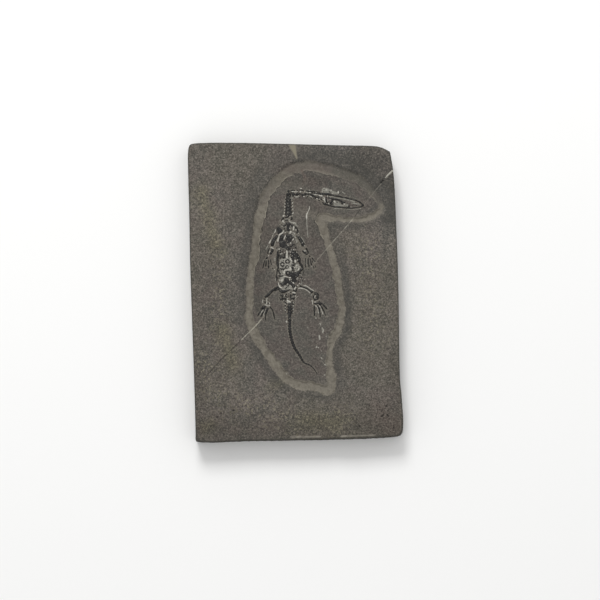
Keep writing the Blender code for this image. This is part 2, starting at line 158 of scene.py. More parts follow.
def ripple(x, y, size, seed):
    """Smooth random waves from -1 to 1, about size across, the same on each run."""
    table = np.random.default_rng(seed).uniform(-1.0, 1.0, (64, 64))
    u, v = x / size + 200.0, y / size + 200.0
    i, j = np.floor(u).astype(int), np.floor(v).astype(int)
    s, t = ease(u - i), ease(v - j)
    corner = [table[(i + a) % 64, (j + b) % 64] for a in (0, 1) for b in (0, 1)]
    return (corner[0] * (1 - s) + corner[2] * s) * (1 - t) + (corner[1] * (1 - s) + corner[3] * s) * t


def waves(x, y, kinds):
    """Sum of random waves, each kind given as its height, size and seed."""
    return sum(height * ripple(x, y, size, seed) for height, size, seed in kinds)


def to_line(x, y, line, closed=False):
    """Distance of each point to a line, the line's last value there, the side, and if it is inside."""
    best = np.full(x.shape, 1e9)
    value = np.zeros(x.shape)
    side = np.ones(x.shape)
    inside = np.zeros(x.shape, bool)
    starts = np.roll(line, 1, axis=0) if closed else line[:-1]
    for start, end in zip(starts, line if closed else line[1:]):
        dx, dy = end[0] - start[0], end[1] - start[1]
        t = np.clip(((x - start[0]) * dx + (y - start[1]) * dy) / (dx * dx + dy * dy), 0.0, 1.0)
        ox, oy = x - start[0] - t * dx, y - start[1] - t * dy
        gap = np.hypot(ox, oy)
        near = gap < best
        best[near] = gap[near]
        value[near] = (start[-1] + t * (end[-1] - start[-1]))[near]
        side[near] = np.where(dx * oy - dy * ox < 0, -1.0, 1.0)[near]
        if closed and dy:
            inside ^= ((start[1] > y) != (end[1] > y)) & (x < start[0] + (y - start[1]) * dx / dy)
    return best, value, side, inside


trough_line = curve_through(TROUGH, LINE_STEP, closed=True)
crack_line = curve_through(CRACK, LINE_STEP)
sides_in_turn = TOP_SIDE[:-1] + RIGHT_SIDE[:-1] + BOTTOM_SIDE[:-1] + LEFT_SIDE[:-1]
outline = curve_through(sides_in_turn, LINE_STEP, closed=True)


def trough_at(x, y):
    """Distance to the trough's middle line, its half width, if it is inside, and how far past the ledge."""
    gap, half, _, inside = to_line(x, y, trough_line, closed=True)
    return gap, half, inside, gap + waves(x, y, LEDGE_WAVES) - half


def split_face(x, y):
    """Height of the natural split face: low swells, with shallow scars and pecks from the splitting."""
    swell = np.sin(x / 31 + 0.7) * np.cos(y / 27) + 0.6 * np.sin((x + y) / 17)
    slanting_pecks = 0.06 * ripple(x + 0.4 * y, y, 1.5, 4)
    return SLAB_THICKNESS + FIELD_SWELL * swell + waves(x, y, FACE_WAVES) + slanting_pecks


def stone_height(x, y):
    """Height of the face: the bones' bed, its ragged ledge, the trough and the split face."""
    gap, half, inside, ledge = trough_at(x, y)
    bed = BED_HEIGHT + waves(x, y, BED_WAVES)
    floor = FLOOR_HEIGHT + waves(x, y, FLOOR_WAVES)
    onto_bed = ease((ledge + LEDGE_WIDTH) / LEDGE_WIDTH)
    onto_face = ease((gap - 0.4 * half + 0.8 * ripple(x, y, 7.0, 18)) / RIM_SLOPE)
    height = np.where(inside, floor + (bed - floor) * onto_bed,
                      floor + (split_face(x, y) - floor) * onto_face)
    crack = to_line(x, y, crack_line)[0]
    height -= CRACK_DEPTH * np.where(inside, 0.0, np.exp(-(crack / CRACK_HALF_WIDTH) ** 2))
    for pit_x, pit_y in PITS:
        height -= PIT_DEPTH * np.exp(-((x - pit_x) ** 2 + (y - pit_y) ** 2) / PIT_SPREAD)
    return height


def spread(half, fine_low, fine_high):
    """Places of the grid's lines from edge to edge, 0 to 1, close together between the fine limits."""
    parts = [RIM_LINES[:-1] - half]
    for start, end, step in ((RIM_LINES[-1] - half, fine_low, COARSE_STEP), (fine_low, fine_high, FINE_STEP),
                             (fine_high, half - RIM_LINES[-1], COARSE_STEP)):
        parts.append(np.linspace(start, end, max(2, round((end - start) / step)), endpoint=False))
    parts.append(half - RIM_LINES[::-1])
    return (np.concatenate(parts) + half) / (2 * half)


def along_side(points, places):
    """Points of one side of the outline at the given parts of its length."""
    curve = curve_through(points, 1.0)
    run = np.concatenate([[0.0], np.cumsum(np.hypot(*np.diff(curve, axis=0).T))])
    return np.stack([np.interp(places * run[-1], run, curve[:, k]) for k in (0, 1)], axis=1)


# The face is a grid stretched between the four sides of the outline
across = spread(88.0, -42.0, 76.0)
up = spread(124.0, -86.0, 109.0)
bottom, top = along_side(BOTTOM_SIDE[::-1], across), along_side(TOP_SIDE, across)
left, right = along_side(LEFT_SIDE, up), along_side(RIGHT_SIDE[::-1], up)
u, v = across[None, :, None], up[:, None, None]
grid = (1 - v) * bottom[None] + v * top[None] + (1 - u) * left[:, None] + u * right[:, None]
for share, corner in (((1 - u) * (1 - v), bottom[0]), (u * (1 - v), bottom[-1]), ((1 - u) * v, top[0]),
                      (u * v, top[-1])):
    grid = grid - share * corner
grid = WITHIN_OUTLINE * grid
rows, columns = grid.shape[:2]
face_x, face_y = grid[..., 0].ravel(), grid[..., 1].ravel()

# The worn edge is rounded more in some places than in others, and a long chip is gone at the near end
to_edge = to_line(face_x, face_y, outline, closed=True)[0]
rounding = EDGE_ROUNDING * (0.75 + waves(face_x, face_y, RIM_WAVES))
over_edge = np.clip(1 - to_edge / np.maximum(rounding, 0.3), 0.0, 1.0)
face_z = stone_height(face_x, face_y) - rounding * (1 - np.sqrt(1 - 0.96 * over_edge ** 2))
along_chip = 1 - ease(np.abs(face_x - CHIP_CENTRE_X) / CHIP_HALF_LENGTH)
near_end = face_y < -110
face_z -= CHIP_DEPTH * np.clip(1 - to_edge / CHIP_WIDTH, 0.0, 1.0) * near_end * along_chip

# The rim of the grid, anticlockwise, from which the sides go down
number = np.arange(rows * columns).reshape(rows, columns)
rim = np.concatenate([number[0, :-1], number[:-1, -1], number[-1, :0:-1], number[:0:-1, 0]])
rim_x, rim_y, rim_z = face_x[rim], face_y[rim], face_z[rim]
run_x, run_y = np.roll(rim_x, -1) - np.roll(rim_x, 1), np.roll(rim_y, -1) - np.roll(rim_y, 1)
length = np.hypot(run_x, run_y)
in_x, in_y = -run_y / length, run_x / length
rim_run = np.cumsum(np.hypot(rim_x - np.roll(rim_x, 1), rim_y - np.roll(rim_y, 1)))

# Rings down the sides, at parts of the slab's height, and the hollows in them: bedding, then breaks,
# each with its depth, its stretch along the rim, its turns over the height, its size and its seed
SIDE_LEVELS = (0.97, 0.91, 0.84, 0.76, 0.67, 0.58, 0.48, 0.38, 0.28, 0.18, 0.08, 0.025, 0.0)
SIDE_HOLLOWS = ((0.5, 0.15, 9, 1.0, 31), (0.55, 1.0, 18, 3.2, 32), (0.15, 1.0, 50, 1.2, 33))
points = [np.stack([face_x, face_y, face_z], axis=1)]
rings = [rim]
for level in SIDE_LEVELS:
    inset = sum(depth * abs(ripple(rim_run * stretch, np.full_like(rim_run, turns * level), size, seed))
                for depth, stretch, turns, size, seed in SIDE_HOLLOWS) * min(level / 0.1, 1.0)
    tuck = 0.9 * np.clip(1 - level / 0.06, 0.0, 1.0) / 100
    ring_x, ring_y = (rim_x + in_x * inset) * (1 - tuck), (rim_y + in_y * inset) * (1 - tuck)
    rings.append(np.arange(len(rim)) + sum(len(part) for part in points))
    points.append(np.stack([ring_x, ring_y, rim_z * level], axis=1))

# The underside: triangles between the lowest ring and points 5 mm apart, a little hollow in places
lowest = points[-1]
inner_x, inner_y = np.meshgrid(np.arange(-85.0, 86.0, 5.0), np.arange(-120.0, 121.0, 5.0))
inner = np.stack([inner_x.ravel(), inner_y.ravel()], axis=1)
gap, _, _, within = to_line(inner[:, 0], inner[:, 1], outline, closed=True)
inner = inner[within & (gap > 3.5)]
under_points = [Vector(p) for p in np.concatenate([lowest[:, :2], inner]).tolist()]
edges = [(i, (i + 1) % len(rim)) for i in range(len(rim))]
_, _, under_faces, _, _, _ = delaunay_2d_cdt(under_points, edges, [], 1, 1e-5)
inner_z = 0.25 * np.clip(ripple(inner[:, 0], inner[:, 1], 14.0, 34), 0.0, 1.0)
first_inner = sum(len(part) for part in points)
points.append(np.column_stack([inner, inner_z]))

quads = [number[:-1, :-1], number[:-1, 1:], number[1:, 1:], number[1:, :-1]]
faces = np.stack(quads, axis=-1).reshape(-1, 4).tolist()
for high, low in zip(rings, rings[1:]):
    faces += np.stack([low, np.roll(low, -1), np.roll(high, -1), high], axis=1).tolist()
under_number = np.concatenate([rings[-1], first_inner + np.arange(len(inner))])
faces += [[int(under_number[i]) for i in reversed(corners)] for corners in under_faces]


def make_piece(name, points, faces, material, body="root"):
    """A smooth mesh piece from points in millimetres, placed in its mesh and riding on a body."""
    mesh = bpy.data.meshes.new(name)
    mesh.from_pydata((np.asarray(points) * MM).tolist(), [], faces)
    mesh.materials.append(material)
    mesh.shade_smooth()
    mesh.validate()
    piece = bpy.data.objects.new(name, mesh)
    bpy.context.scene.collection.objects.link(piece)
    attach(piece, body)
    return piece


def carry(mesh, name, values, elsewhere=0.0):
    """Stores a value at each of a mesh's first points, and another at the rest."""
    whole = np.full(len(mesh.vertices), elsewhere, np.float32)
    whole[:len(values)] = values
    mesh.attributes.new(name, "FLOAT", "POINT").data.foreach_set("value", whole)


def colour(hex_value):
    """Linear colour of an sRGB hex value."""
    parts = [int(hex_value[i:i + 2], 16) / 255 for i in (0, 2, 4)]
    return [p / 12.92 if p <= 0.04045 else ((p + 0.055) / 1.055) ** 2.4 for p in parts] + [1.0]


def fill(tree, node, inputs):
    """Gives a node's inputs, by name or number, a link from a node or socket, or a value or hex colour."""
    for key, part in inputs.items():
        named = [s for s in node.inputs if s.name == key and s.enabled]
        socket = named[0] if named else node.inputs[key]
        if isinstance(part, bpy.types.Node):
            tree.links.new(next(s for s in part.outputs if s.enabled), socket)
        elif isinstance(part, bpy.types.NodeSocket):
            tree.links.new(part, socket)
        else:
            socket.default_value = colour(part) if socket.type == "RGBA" else part


def add(tree, kind, inputs=None, **settings):
    """Adds a node with its settings and fills its inputs."""
    node = tree.nodes.new(kind)
    for key, value in settings.items():
        setattr(node, key, value)
    fill(tree, node, inputs or {})
    return node


def start_material(name, **patterns):
    """A new material, its node tree and its noise patterns, which follow the object.

    A pattern has the size of its lumps in millimetres, its detail, its roughness and its distortion.
    """
    material = bpy.data.materials.new(name)
    material.use_nodes = True
    tree = material.node_tree
    place = add(tree, "ShaderNodeTexCoord").outputs["Object"]
    made = {}
    for pattern, (size, detail, roughness, distortion) in patterns.items():
        made[pattern] = add(tree, "ShaderNodeTexNoise", {
            "Vector": place, "Scale": 1 / (size * MM), "Detail": detail, "Roughness": roughness,
            "Distortion": distortion})
    return material, tree, made


def laid_over(tree, tone, layers):
    """Lays tones over one another: each layer is a tone and the parts that its strength is the product of.

    A part is a number, a node, or the name of a value that the mesh carries at its points. With two
    numbers after it, that range of its values is turned into 0 to 1, or into the two that follow.
    """
    for top_tone, *parts in layers:
        strength = None
        for part in parts:
            source, *span = part if isinstance(part, tuple) else (part,)
            if isinstance(source, str):
                source = add(tree, "ShaderNodeAttribute", attribute_name=source).outputs["Fac"]
            if span:
                names = ("From Min", "From Max", "To Min", "To Max")
                source = add(tree, "ShaderNodeMapRange", {"Value": source, **dict(zip(names, span))})
            if strength is not None:
                source = add(tree, "ShaderNodeMath", {0: strength, 1: source}, operation="MULTIPLY")
            strength = source
        tone = add(tree, "ShaderNodeMix", {"Factor": strength, "A": tone, "B": top_tone}, data_type="RGBA")
    return tone


def finish_material(tree, tone, height, strength, depth, values):
    """Gives the shader its tone, its own values, and a fine relief of a depth in millimetres."""
    bump = add(tree, "ShaderNodeBump", {"Height": height, "Strength": strength, "Distance": depth * MM})
    fill(tree, tree.nodes["Principled BSDF"], {"Base Color": tone, "Normal": bump, **values})


# Limestone: micrite, a lime mud stone with no sheen. The split face is pecked and speckled with paler
# grains 2 to 3 mm apart; scraped stone in the trough is paler and smoother, and old stains tint it.
# Old tones lie in clouds 10 to 45 mm across, over a network of pale threads and fine grains.
limestone, tree, pattern = start_material(
    "limestone_split_and_prepared", clouds=(13.0, 3.0, 0.55, 0.0), wide_clouds=(45.0, 2.0, 0.5, 0.0),
    bed_clouds=(14.0, 2.0, 0.5, 0.0), grain=(1.25, 2.0, 0.6, 0.0), threads=(2.6, 1.5, 0.5, 0.6),
    scraped=(3.4, 3.0, 0.6, 0.0), lumps=(1.5, 2.5, 0.5, 0.0), coarse_grains=(1.7, 3.0, 0.5, 0.0),
    black_grains=(1.7, 2.0, 0.5, 0.0), flakes=(4.0, 2.0, 0.5, 0.0), crack_waves=(3.5, 2.0, 0.5, 0.0))
stone = {}
for name in ("band", "pecked", "ledge", "crack", "darkened"):
    stone[name] = add(tree, "ShaderNodeAttribute", attribute_name=name).outputs["Fac"]

# How far some values lie from a middle one, whichever way: threads, the painted highlight and shade lines at
# the bed's edge, and the crack
apart = {}
for name, source, middle in (("threads", pattern["threads"], 0.5), ("arris_highlight", stone["ledge"], 0.25),
                             ("foot", stone["ledge"], 0.95), ("crack", stone["crack"], 0.0)):
    off_middle = add(tree, "ShaderNodeMath", {0: source, 1: middle}, operation="SUBTRACT")
    apart[name] = add(tree, "ShaderNodeMath", {0: off_middle}, operation="ABSOLUTE")
threads = add(tree, "ShaderNodeMapRange", {"Value": apart["threads"], "From Min": 0.075, "From Max": 0.0})

# The halo has a lumpy border, and the crack a width that wanders between 0.1 and 0.5 mm
lumps = add(tree, "ShaderNodeMath", {0: pattern["lumps"], 1: 1.4}, operation="MULTIPLY")
lumpy_band = add(tree, "ShaderNodeMath", {0: stone["band"], 1: lumps}, operation="ADD")
crack_width = add(tree, "ShaderNodeMapRange", {"Value": pattern["crack_waves"], "From Min": 0.35,
                                               "From Max": 0.65, "To Min": 0.1, "To Max": 0.5})
in_crack = add(tree, "ShaderNodeMath", {0: crack_width, 1: apart["crack"]}, operation="SUBTRACT")

bed_tone = laid_over(tree, "5B5450", [("55544F", (pattern["bed_clouds"], 0.42, 0.58))])
scraped_tone = laid_over(tree, "69645A", [("7E796E", (pattern["scraped"], 0.38, 0.6))])
pale_grains = laid_over(tree, "8D867D", [("8F8A6C", "olive")])
tone = laid_over(tree, "504E49", [
    ("5E5752", (pattern["clouds"], 0.38, 0.62)),
    ("565349", (pattern["wide_clouds"], 0.42, 0.58, 0.0, 0.5)),
    (bed_tone, "inner", 0.75),
    ("4D4E4D", "bluish", 0.6),
    ("464541", "dark"),
    (scraped_tone, (lumpy_band, 1.0, 1.25), ("faint", 0.0, 1.0, 1.0, 0.2)),
    ("665852", "rose"),
    ("79746A", "pale"),
    ("5D5A47", "olive", 0.6),
    ("383632", stone["pecked"], (pattern["grain"], 0.50, 0.34, 0.0, 0.62)),
    (pale_grains, stone["pecked"], threads, 0.42),
    (pale_grains, stone["pecked"], (pattern["grain"], 0.54, 0.74, 0.0, 0.95)),
    ("9B957F", "sandy", (pattern["coarse_grains"], 0.56, 0.66, 0.0, 0.85)),
    ("24221F", "peppered", (pattern["black_grains"], 0.60, 0.66, 0.0, 0.9)),
    # The ragged edge of the bed: a painted highlight along the arris of the broken flakes, with a painted
    # shade line just inside it
    ("969083", (apart["arris_highlight"], 0.45, 0.15), (pattern["flakes"], 0.36, 0.54),
     ("thin", 0.0, 1.0, 0.25, 0.85)),
    ("3A3834", (apart["foot"], 0.45, 0.15), (pattern["flakes"], 0.36, 0.54),
     ("thin", 0.0, 1.0, 0.25, 0.85)),
    # The healed crack: pale calcite where the stone carries more than 0, an open black gap below 0
    ("A39F92", (in_crack, -0.16, 0.16), ("crack_fill", 0.0, 1.0)),
    ("24211E", (in_crack, -0.16, 0.16), ("crack_fill", 0.0, -1.0)),
    # Painted dark along the hairline crack, and a painted shadow under the pale ridge
    ("2B2925", ("hairline_and_ridge_shadow", 0.55, 0.2, 0.0, 0.65)),
    # Pits painted near black; for the first two this is the pale ridge's painted shadow
    ("1B1A18", ("pit", 1.3, 0.4)),
    ("8B8574", "wedge"),
    # Painted highlight where the fresh chips along the near edge catch the light
    ("A8A397", "chipped_edge_highlight"),
    ("8D887B", "by_bone"),
])
# The stone is made a little darker all over, more in the darker patches and over the bed
tone = add(tree, "ShaderNodeMix", {"Factor": stone["darkened"], "A": tone, "B": "B9B6B2"},
           data_type="RGBA", blend_type="MULTIPLY")
# Painted shade along the rim of the face, wider at the near edge. The sides and underside are painted darker
# too, partly as their own darker stone and partly as painted shade
tone = laid_over(tree, tone, [("3B3A35", "edge")])
grain_relief = add(tree, "ShaderNodeMath", {0: stone["pecked"], 1: pattern["grain"]}, operation="MULTIPLY")
thread_relief = add(tree, "ShaderNodeMath", {0: threads, 1: 0.12}, operation="MULTIPLY")
relief = add(tree, "ShaderNodeMath", {0: grain_relief, 1: thread_relief}, operation="ADD")
finish_material(tree, tone, relief, 0.7, 0.5, {"Roughness": 0.88, "Specular IOR Level": 0.3})

slab = make_piece("limestone_slab", np.concatenate(points), faces, limestone)
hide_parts("matrix_slab")

# Patches where the stone carries a tone or a surface of its own: (points, reach, strength).
# Dark stone: smooth and left dark outside the trough
DARK_STONE = [
    ([(-27.0, 104.0), (-35.0, 88.0), (-38.5, 70.0), (-41.0, 50.0), (-43.5, 30.0), (-45.0, 6.0)], 6.0, 0.75),
    ([(43.0, 44.0), (43.0, 20.0), (44.0, 0.0), (43.5, -20.0), (41.0, -43.0)], 3.5, 1.0),
    ([(40.0, -40.0), (37.0, -50.0), (35.5, -64.0)], 4.5, 0.8),
    ([(4.0, 114.0), (22.0, 113.0), (40.0, 110.0)], 7.0, 0.7),
    ([(52.0, 105.0), (62.0, 99.0), (67.0, 90.0)], 6.5, 1.2),
    ([(76.0, 90.0), (78.0, 70.0), (78.0, 46.0)], 5.0, 0.6),
    ([(30.0, 54.0), (42.0, 52.5), (54.0, 52.0)], 5.0, 0.8),
    ([(-36.0, -45.0), (-24.0, -62.0), (-10.0, -77.0)], 3.5, 0.7),
    ([(4.0, -87.0), (25.0, -87.0)], 3.0, 0.6),
]
# Dark corners: wider shade outside the trough, by the neck and the snout
DARK_CORNER = [([(-14.0, 112.0), (-31.0, 96.0), (-38.0, 78.0), (-42.0, 58.0)], 6.5, 0.6),
               ([(70.0, 90.0), (79.0, 88.0), (80.0, 72.0), (79.0, 60.0)], 8.0, 1.1),
               ([(44.0, 98.0), (54.0, 93.0), (63.0, 86.0)], 5.0, 0.6),
               ([(2.0, 114.0), (30.0, 113.0), (52.0, 106.0), (64.0, 97.0)], 6.5, 0.9)]
# Stains in olive and rose
OLIVE_STAINS = [([(8.0, -106.0), (34.0, -108.0)], 7.0, 0.5), ([(-74.6, -112.0), (-70.0, -110.0)], 6.0, 0.5),
                ([(-20.0, -78.0), (-13.0, -76.0)], 5.0, 0.3), ([(-60.5, -31.0), (-52.0, -60.0)], 7.0, 0.6),
                ([(-78.8, 85.5), (-66.0, 40.0)], 6.0, 0.5)]
ROSE_STAINS = [([(5.9, 102.1), (7.6, 93.8), (4.2, 85.5)], 0.7, 1.0),
               ([(10.0, 101.3), (7.6, 95.5)], 0.7, 1.0),
               ([(70.0, -98.0), (80.0, -110.0)], 9.0, 0.8),
               ([(-8.0, 103.0), (12.0, 104.0), (28.0, 101.0)], 4.0, 0.4)]
# Pale stone, and bluish stone towards the upper right corner
PALE_PATCHES = [([(12.0, 65.0), (24.0, 60.0)], 4.0, 0.9), ([(2.0, 66.0), (8.0, 69.0)], 4.0, 0.4),
                ([(-16.0, 86.0), (-9.0, 90.0), (6.0, 90.0)], 4.0, 0.45),
                ([(-27.0, 56.0), (-26.0, 40.0)], 3.0, 0.25),
                ([(20.0, -79.5), (27.0, -78.0), (29.5, -72.0)], 3.0, 0.75),
                ([(-29.5, 63.0), (-31.5, 56.0), (-34.0, 42.0), (-34.5, 33.0)], 2.2, 0.4),
                ([(-16.6, 44.0), (-16.9, 30.0), (-16.6, 15.0)], 2.2, 0.8),
                ([(1.5, 45.0), (5.0, 36.0), (6.5, 30.0)], 2.6, 0.9),
                ([(33.5, 61.5), (45.5, 61.0), (58.0, 62.0), (66.0, 64.5), (72.0, 70.0)], 2.6, 0.85)]
BLUISH = [([(20.0, 118.0), (60.0, 112.0), (78.0, 92.0), (80.0, 60.0)], 16.0, 1.0)]
# Stretches of the halo that hardly show
FAINT_BAND = [([(-6.0, 104.0), (12.0, 106.0), (30.0, 103.0)], 6.0, 0.7),
              ([(-18.0, 91.0), (-24.0, 81.0), (-28.0, 75.0)], 4.5, 0.7),
              ([(28.0, 103.5), (45.0, 97.5), (58.0, 91.0), (67.0, 83.5), (70.5, 78.0)], 5.0, 1.5)]
# Stone speckled with sandy grains, and with black ones near the lower corners
SANDY = [([(-75.0, -60.0), (-60.0, -95.0), (-30.0, -98.0), (0.0, -108.0), (40.0, -108.0)], 13.0, 0.8),
         ([(-80.0, 80.0), (-65.0, 40.0), (-62.0, 0.0), (-66.0, -40.0)], 9.0, 0.6),
         ([(60.0, 40.0), (62.0, 0.0), (66.0, -40.0)], 14.0, 0.6)]
PEPPERED = [([(-80.0, -92.0), (-70.0, -112.0)], 8.0, 1.0), ([(-66.0, -92.0), (-46.0, -104.0)], 7.0, 0.8),
            ([(66.0, -96.0), (80.0, -112.0)], 11.0, 1.0)]
# Stretches of the bed's edge where thin flakes have broken off, and where its painted highlight and shade
# lines show most
THIN_FLAKES = [([(-10.0, 98.0), (-16.0, 84.0), (-24.0, 66.0), (-28.0, 48.0), (-32.0, 20.0)], 8.0, 1.0),
               ([(14.0, 100.0), (34.0, 92.0)], 6.0, 0.7), ([(14.0, 62.0), (24.0, 46.0)], 7.0, 1.0)]
# Stone made darker: along the near edge, in the far right corner, down the sides and in a few places round
# the body
DARKER_PATCHES = [([(-66.0, 30.0), (-70.0, -20.0), (-68.0, -70.0)], 14.0, 0.45),
             ([(62.0, 10.0), (66.0, -40.0)], 14.0, 0.3),
             ([(6.0, 78.0), (16.0, 66.0), (14.0, 44.0)], 8.0, 0.35),
             ([(-25.0, 52.0), (-30.0, 20.0), (-30.0, -12.0)], 8.0, 0.6),
             ([(-10.0, 92.0), (20.0, 93.0)], 6.0, 0.7),
             ([(-80.0, -114.0), (0.0, -116.0), (84.0, -114.0)], 17.0, 1.0),
             ([(60.0, 113.0), (80.0, 100.0)], 13.0, 1.0),
             ([(84.0, -60.0), (86.0, -100.0)], 9.0, 0.6),
             ([(-79.0, -60.0), (-80.0, -105.0)], 7.0, 0.7)]
PATCH_STEP = 4.0
PATCH_BORDER = ((1.6, 5.0, 41),)

# Lines on the face: a hairline crack, a painted shadow under the pale ridge at the upper right, a painted
# highlight along fresh chips at the near edge, and a pale wedge at the far one
HAIRLINE_AND_RIDGE_SHADOW_LINES = [[(-54.7, -76.4), (-57.0, -88.0), (-59.7, -103.8)],
             # A painted shadow under the pale ridge at the upper right
             [(81.6, 98.8), (79.4, 97.2), (77.2, 95.0), (76.0, 93.6)]]
# Fresh chips along the near edge, where a painted highlight runs
CHIP_HIGHLIGHT_LINES = [[(-4.0, -120.7), (8.0, -120.2), (21.0, -120.3)],
                [(38.0, -119.6), (58.0, -118.8), (66.0, -118.6)]]
WEDGE = [(-3.0, 126.0, 3.1), (-2.0, 121.5, 2.4), (-0.4, 117.0, 1.3), (1.2, 111.6, 0.3)]

# How much calcite fills the healed crack at each X, less than 0 where it gapes
CRACK_FILL = [(-86.0, -0.1), (-77.0, -0.1), (-75.0, -0.6), (-46.0, -0.6), (-44.0, 1.0), (-26.5, 1.0),
              (-24.0, 0.0), (16.0, 0.0), (18.0, 0.4), (30.0, 0.45), (36.0, 0.65), (48.5, 0.6), (50.0, -0.7),
              (56.5, -0.7), (58.0, 0.35), (72.0, 0.3), (73.5, -0.4), (75.0, -0.2), (77.0, 0.5), (86.0, 0.6)]


def soft_patches(patches):
    """How strongly each point of the face lies in the given soft-edged patches, 0 to 1."""
    total = np.zeros(face_x.shape)
    border = waves(face_x, face_y, PATCH_BORDER)
    for points, reach, strength in patches:
        gap = to_line(face_x, face_y, curve_through(points, PATCH_STEP))[0] + border
        total = np.maximum(total, strength * np.exp(-(np.maximum(gap, 0.0) / reach) ** 2))
    return np.clip(total, 0.0, 1.0)


def nearest(lines):
    """Distance of each point of the face to the nearest of some lines."""
    return np.min([to_line(face_x, face_y, line)[0] for line in lines], axis=0)


gap, half, inside, ledge = trough_at(face_x, face_y)
ledge = np.where(inside, ledge, -half - gap)
outer_edge = gap - 0.55 * half + waves(face_x, face_y, ((0.9, 5.0, 42), (0.4, 1.8, 44)))
scraped = np.where(inside, 1 - ease((ledge + 0.4) / 1.2), 1 - ease(outer_edge / 2.6))
inner_bed = inside * (1 - scraped)
beyond = np.where(inside, 0.0, np.clip(1.4 - np.maximum(gap - 0.55 * half - 1.5, 0.0) / 7.5, 0.0, 1.0))
dark = ease(beyond) * (1 - scraped) * (0.45 + 0.55 * soft_patches(DARK_STONE))
dark = np.maximum(dark, soft_patches(DARK_CORNER) * (1 - scraped) * (1 - inner_bed))
faint = soft_patches(FAINT_BAND)
crack_gap, _, crack_side, _ = to_line(face_x, face_y, crack_line)
wedge_gap, wedge_half, _, _ = to_line(face_x, face_y, curve_through(WEDGE, 2.0))
chip_highlight = 1 - ease((nearest([np.array(line) for line in CHIP_HIGHLIGHT_LINES]) - 0.25) / 0.6)
# Width of the painted shade along the rim of the face, wider at the near edge
edge_shade_width = np.where(face_y < -112, 1.2, 0.5)

# What the stone carries at each point of its face, and on its sides and underside where that isn't 0
carried = {
    "band": scraped * (0.92 + 0.08 * ripple(face_x, face_y, 6.0, 43)),
    "faint": faint,
    "thin": soft_patches(THIN_FLAKES) * (1 - faint),
    "inner": inner_bed,
    "dark": dark,
    "olive": soft_patches(OLIVE_STAINS),
    "rose": soft_patches(ROSE_STAINS) * 0.6,
    "bluish": soft_patches(BLUISH),
    "peppered": soft_patches(PEPPERED),
    "sandy": soft_patches(SANDY),
    "pale": soft_patches(PALE_PATCHES) * 0.8,
    "pecked": np.clip((1 - 0.7 * scraped) * (1 - 0.65 * dark) * (1 - 0.3 * inner_bed), 0.0, 1.0),
    "ledge": ledge,
    "crack": crack_gap * crack_side,
    "crack_fill": np.interp(face_x, *zip(*CRACK_FILL)),
    "wedge": 0.9 * ease((wedge_half - wedge_gap + 0.6) / 0.9),
    "chipped_edge_highlight": chip_highlight * (0.75 + 0.4 * ripple(face_x, face_y, 2.2, 46)),
    "hairline_and_ridge_shadow": nearest([curve_through(line, LINE_STEP) for line in HAIRLINE_AND_RIDGE_SHADOW_LINES]),
    "pit": np.min([np.hypot(face_x - x, face_y - y) for x, y in PITS], axis=0),
    "darkened": 0.24 + 0.42 * soft_patches(DARKER_PATCHES) + 0.17 * inner_bed,
    "edge": 0.8 * (1 - ease((to_edge - edge_shade_width) / 0.9)),
}
BELOW_FACE = {"crack": 9.0, "ledge": -9.0, "pecked": 0.8, "edge": 0.4, "hairline_and_ridge_shadow": 9.0, "pit": 9.0,
              "darkened": 0.2}
for name, values in carried.items():
    carry(slab.data, name, values, elsewhere=BELOW_FACE.get(name, 0.0))


# The bones: black phosphatic bone, pressed flat, lying half sunk in the stone and still glossy where
# the preparator has cleaned it. Each one is a lens swept along the bone's own line of (x, y, width);
# a line of one point is a small round scrap.
SECTION_SIDES = 8
SWEEP_STEP = 0.42
SUNK_DEPTH = 0.35
UNEVENNESS = 0.16
UNEVEN_SEED = 5
SCRAP_HALF_LENGTH = 0.36
MOST_RELIEF = 0.75
BEAD_SHARE = 0.52
PLATE_STEP = 0.6
PLATE_DEPTH = 0.5
PLATE_DENTS = ((0.12, 2.4, 6), (0.07, 1.2, 7))


def nodes_tree(name, *sizes):
    """An empty Geometry Nodes tree with lines, a material and sizes going in and a mesh coming out."""
    tree = bpy.data.node_groups.new(name, "GeometryNodeTree")
    tree.is_modifier = True
    tree.interface.new_socket("Lines", in_out="INPUT", socket_type="NodeSocketGeometry")
    tree.interface.new_socket("Material", in_out="INPUT", socket_type="NodeSocketMaterial")
    for size in sizes:
        tree.interface.new_socket(size, in_out="INPUT", socket_type="NodeSocketFloat")
    tree.interface.new_socket("Mesh", in_out="OUTPUT", socket_type="NodeSocketGeometry")
    return tree, add(tree, "NodeGroupInput").outputs


def close_tree(tree, given, mesh):
    """Ends a tree: real meshes instead of instances, smooth, in the given material."""
    real = add(tree, "GeometryNodeRealizeInstances", {"Geometry": mesh})
    smooth = add(tree, "GeometryNodeSetShadeSmooth", {"Geometry": real})
    coated = add(tree, "GeometryNodeSetMaterial", {"Geometry": smooth, "Material": given["Material"]})
    add(tree, "NodeGroupOutput", {"Mesh": coated})


# A bone's shaft: a round section swept along its line, then pressed flat above and below the stone
shaft_tree, given = nodes_tree("bone_along_line", "Sunk depth")
half_width = add(shaft_tree, "GeometryNodeInputNamedAttribute", {"Name": "half_width"}, data_type="FLOAT")
raised = add(shaft_tree, "GeometryNodeInputNamedAttribute", {"Name": "relief"}, data_type="FLOAT")
path = add(shaft_tree, "GeometryNodeMeshToCurve", {"Mesh": given["Lines"]})
upright = add(shaft_tree, "GeometryNodeSetCurveNormal", {"Curve": path}, mode="Z_UP")
section = add(shaft_tree, "GeometryNodeCurvePrimitiveCircle", {"Resolution": SECTION_SIDES, "Radius": 1.0})
swept = add(shaft_tree, "GeometryNodeCurveToMesh", {
    "Curve": upright, "Profile Curve": section, "Scale": half_width, "Fill Caps": True})
spot = add(shaft_tree, "ShaderNodeSeparateXYZ", {0: add(shaft_tree, "GeometryNodeInputPosition")}).outputs
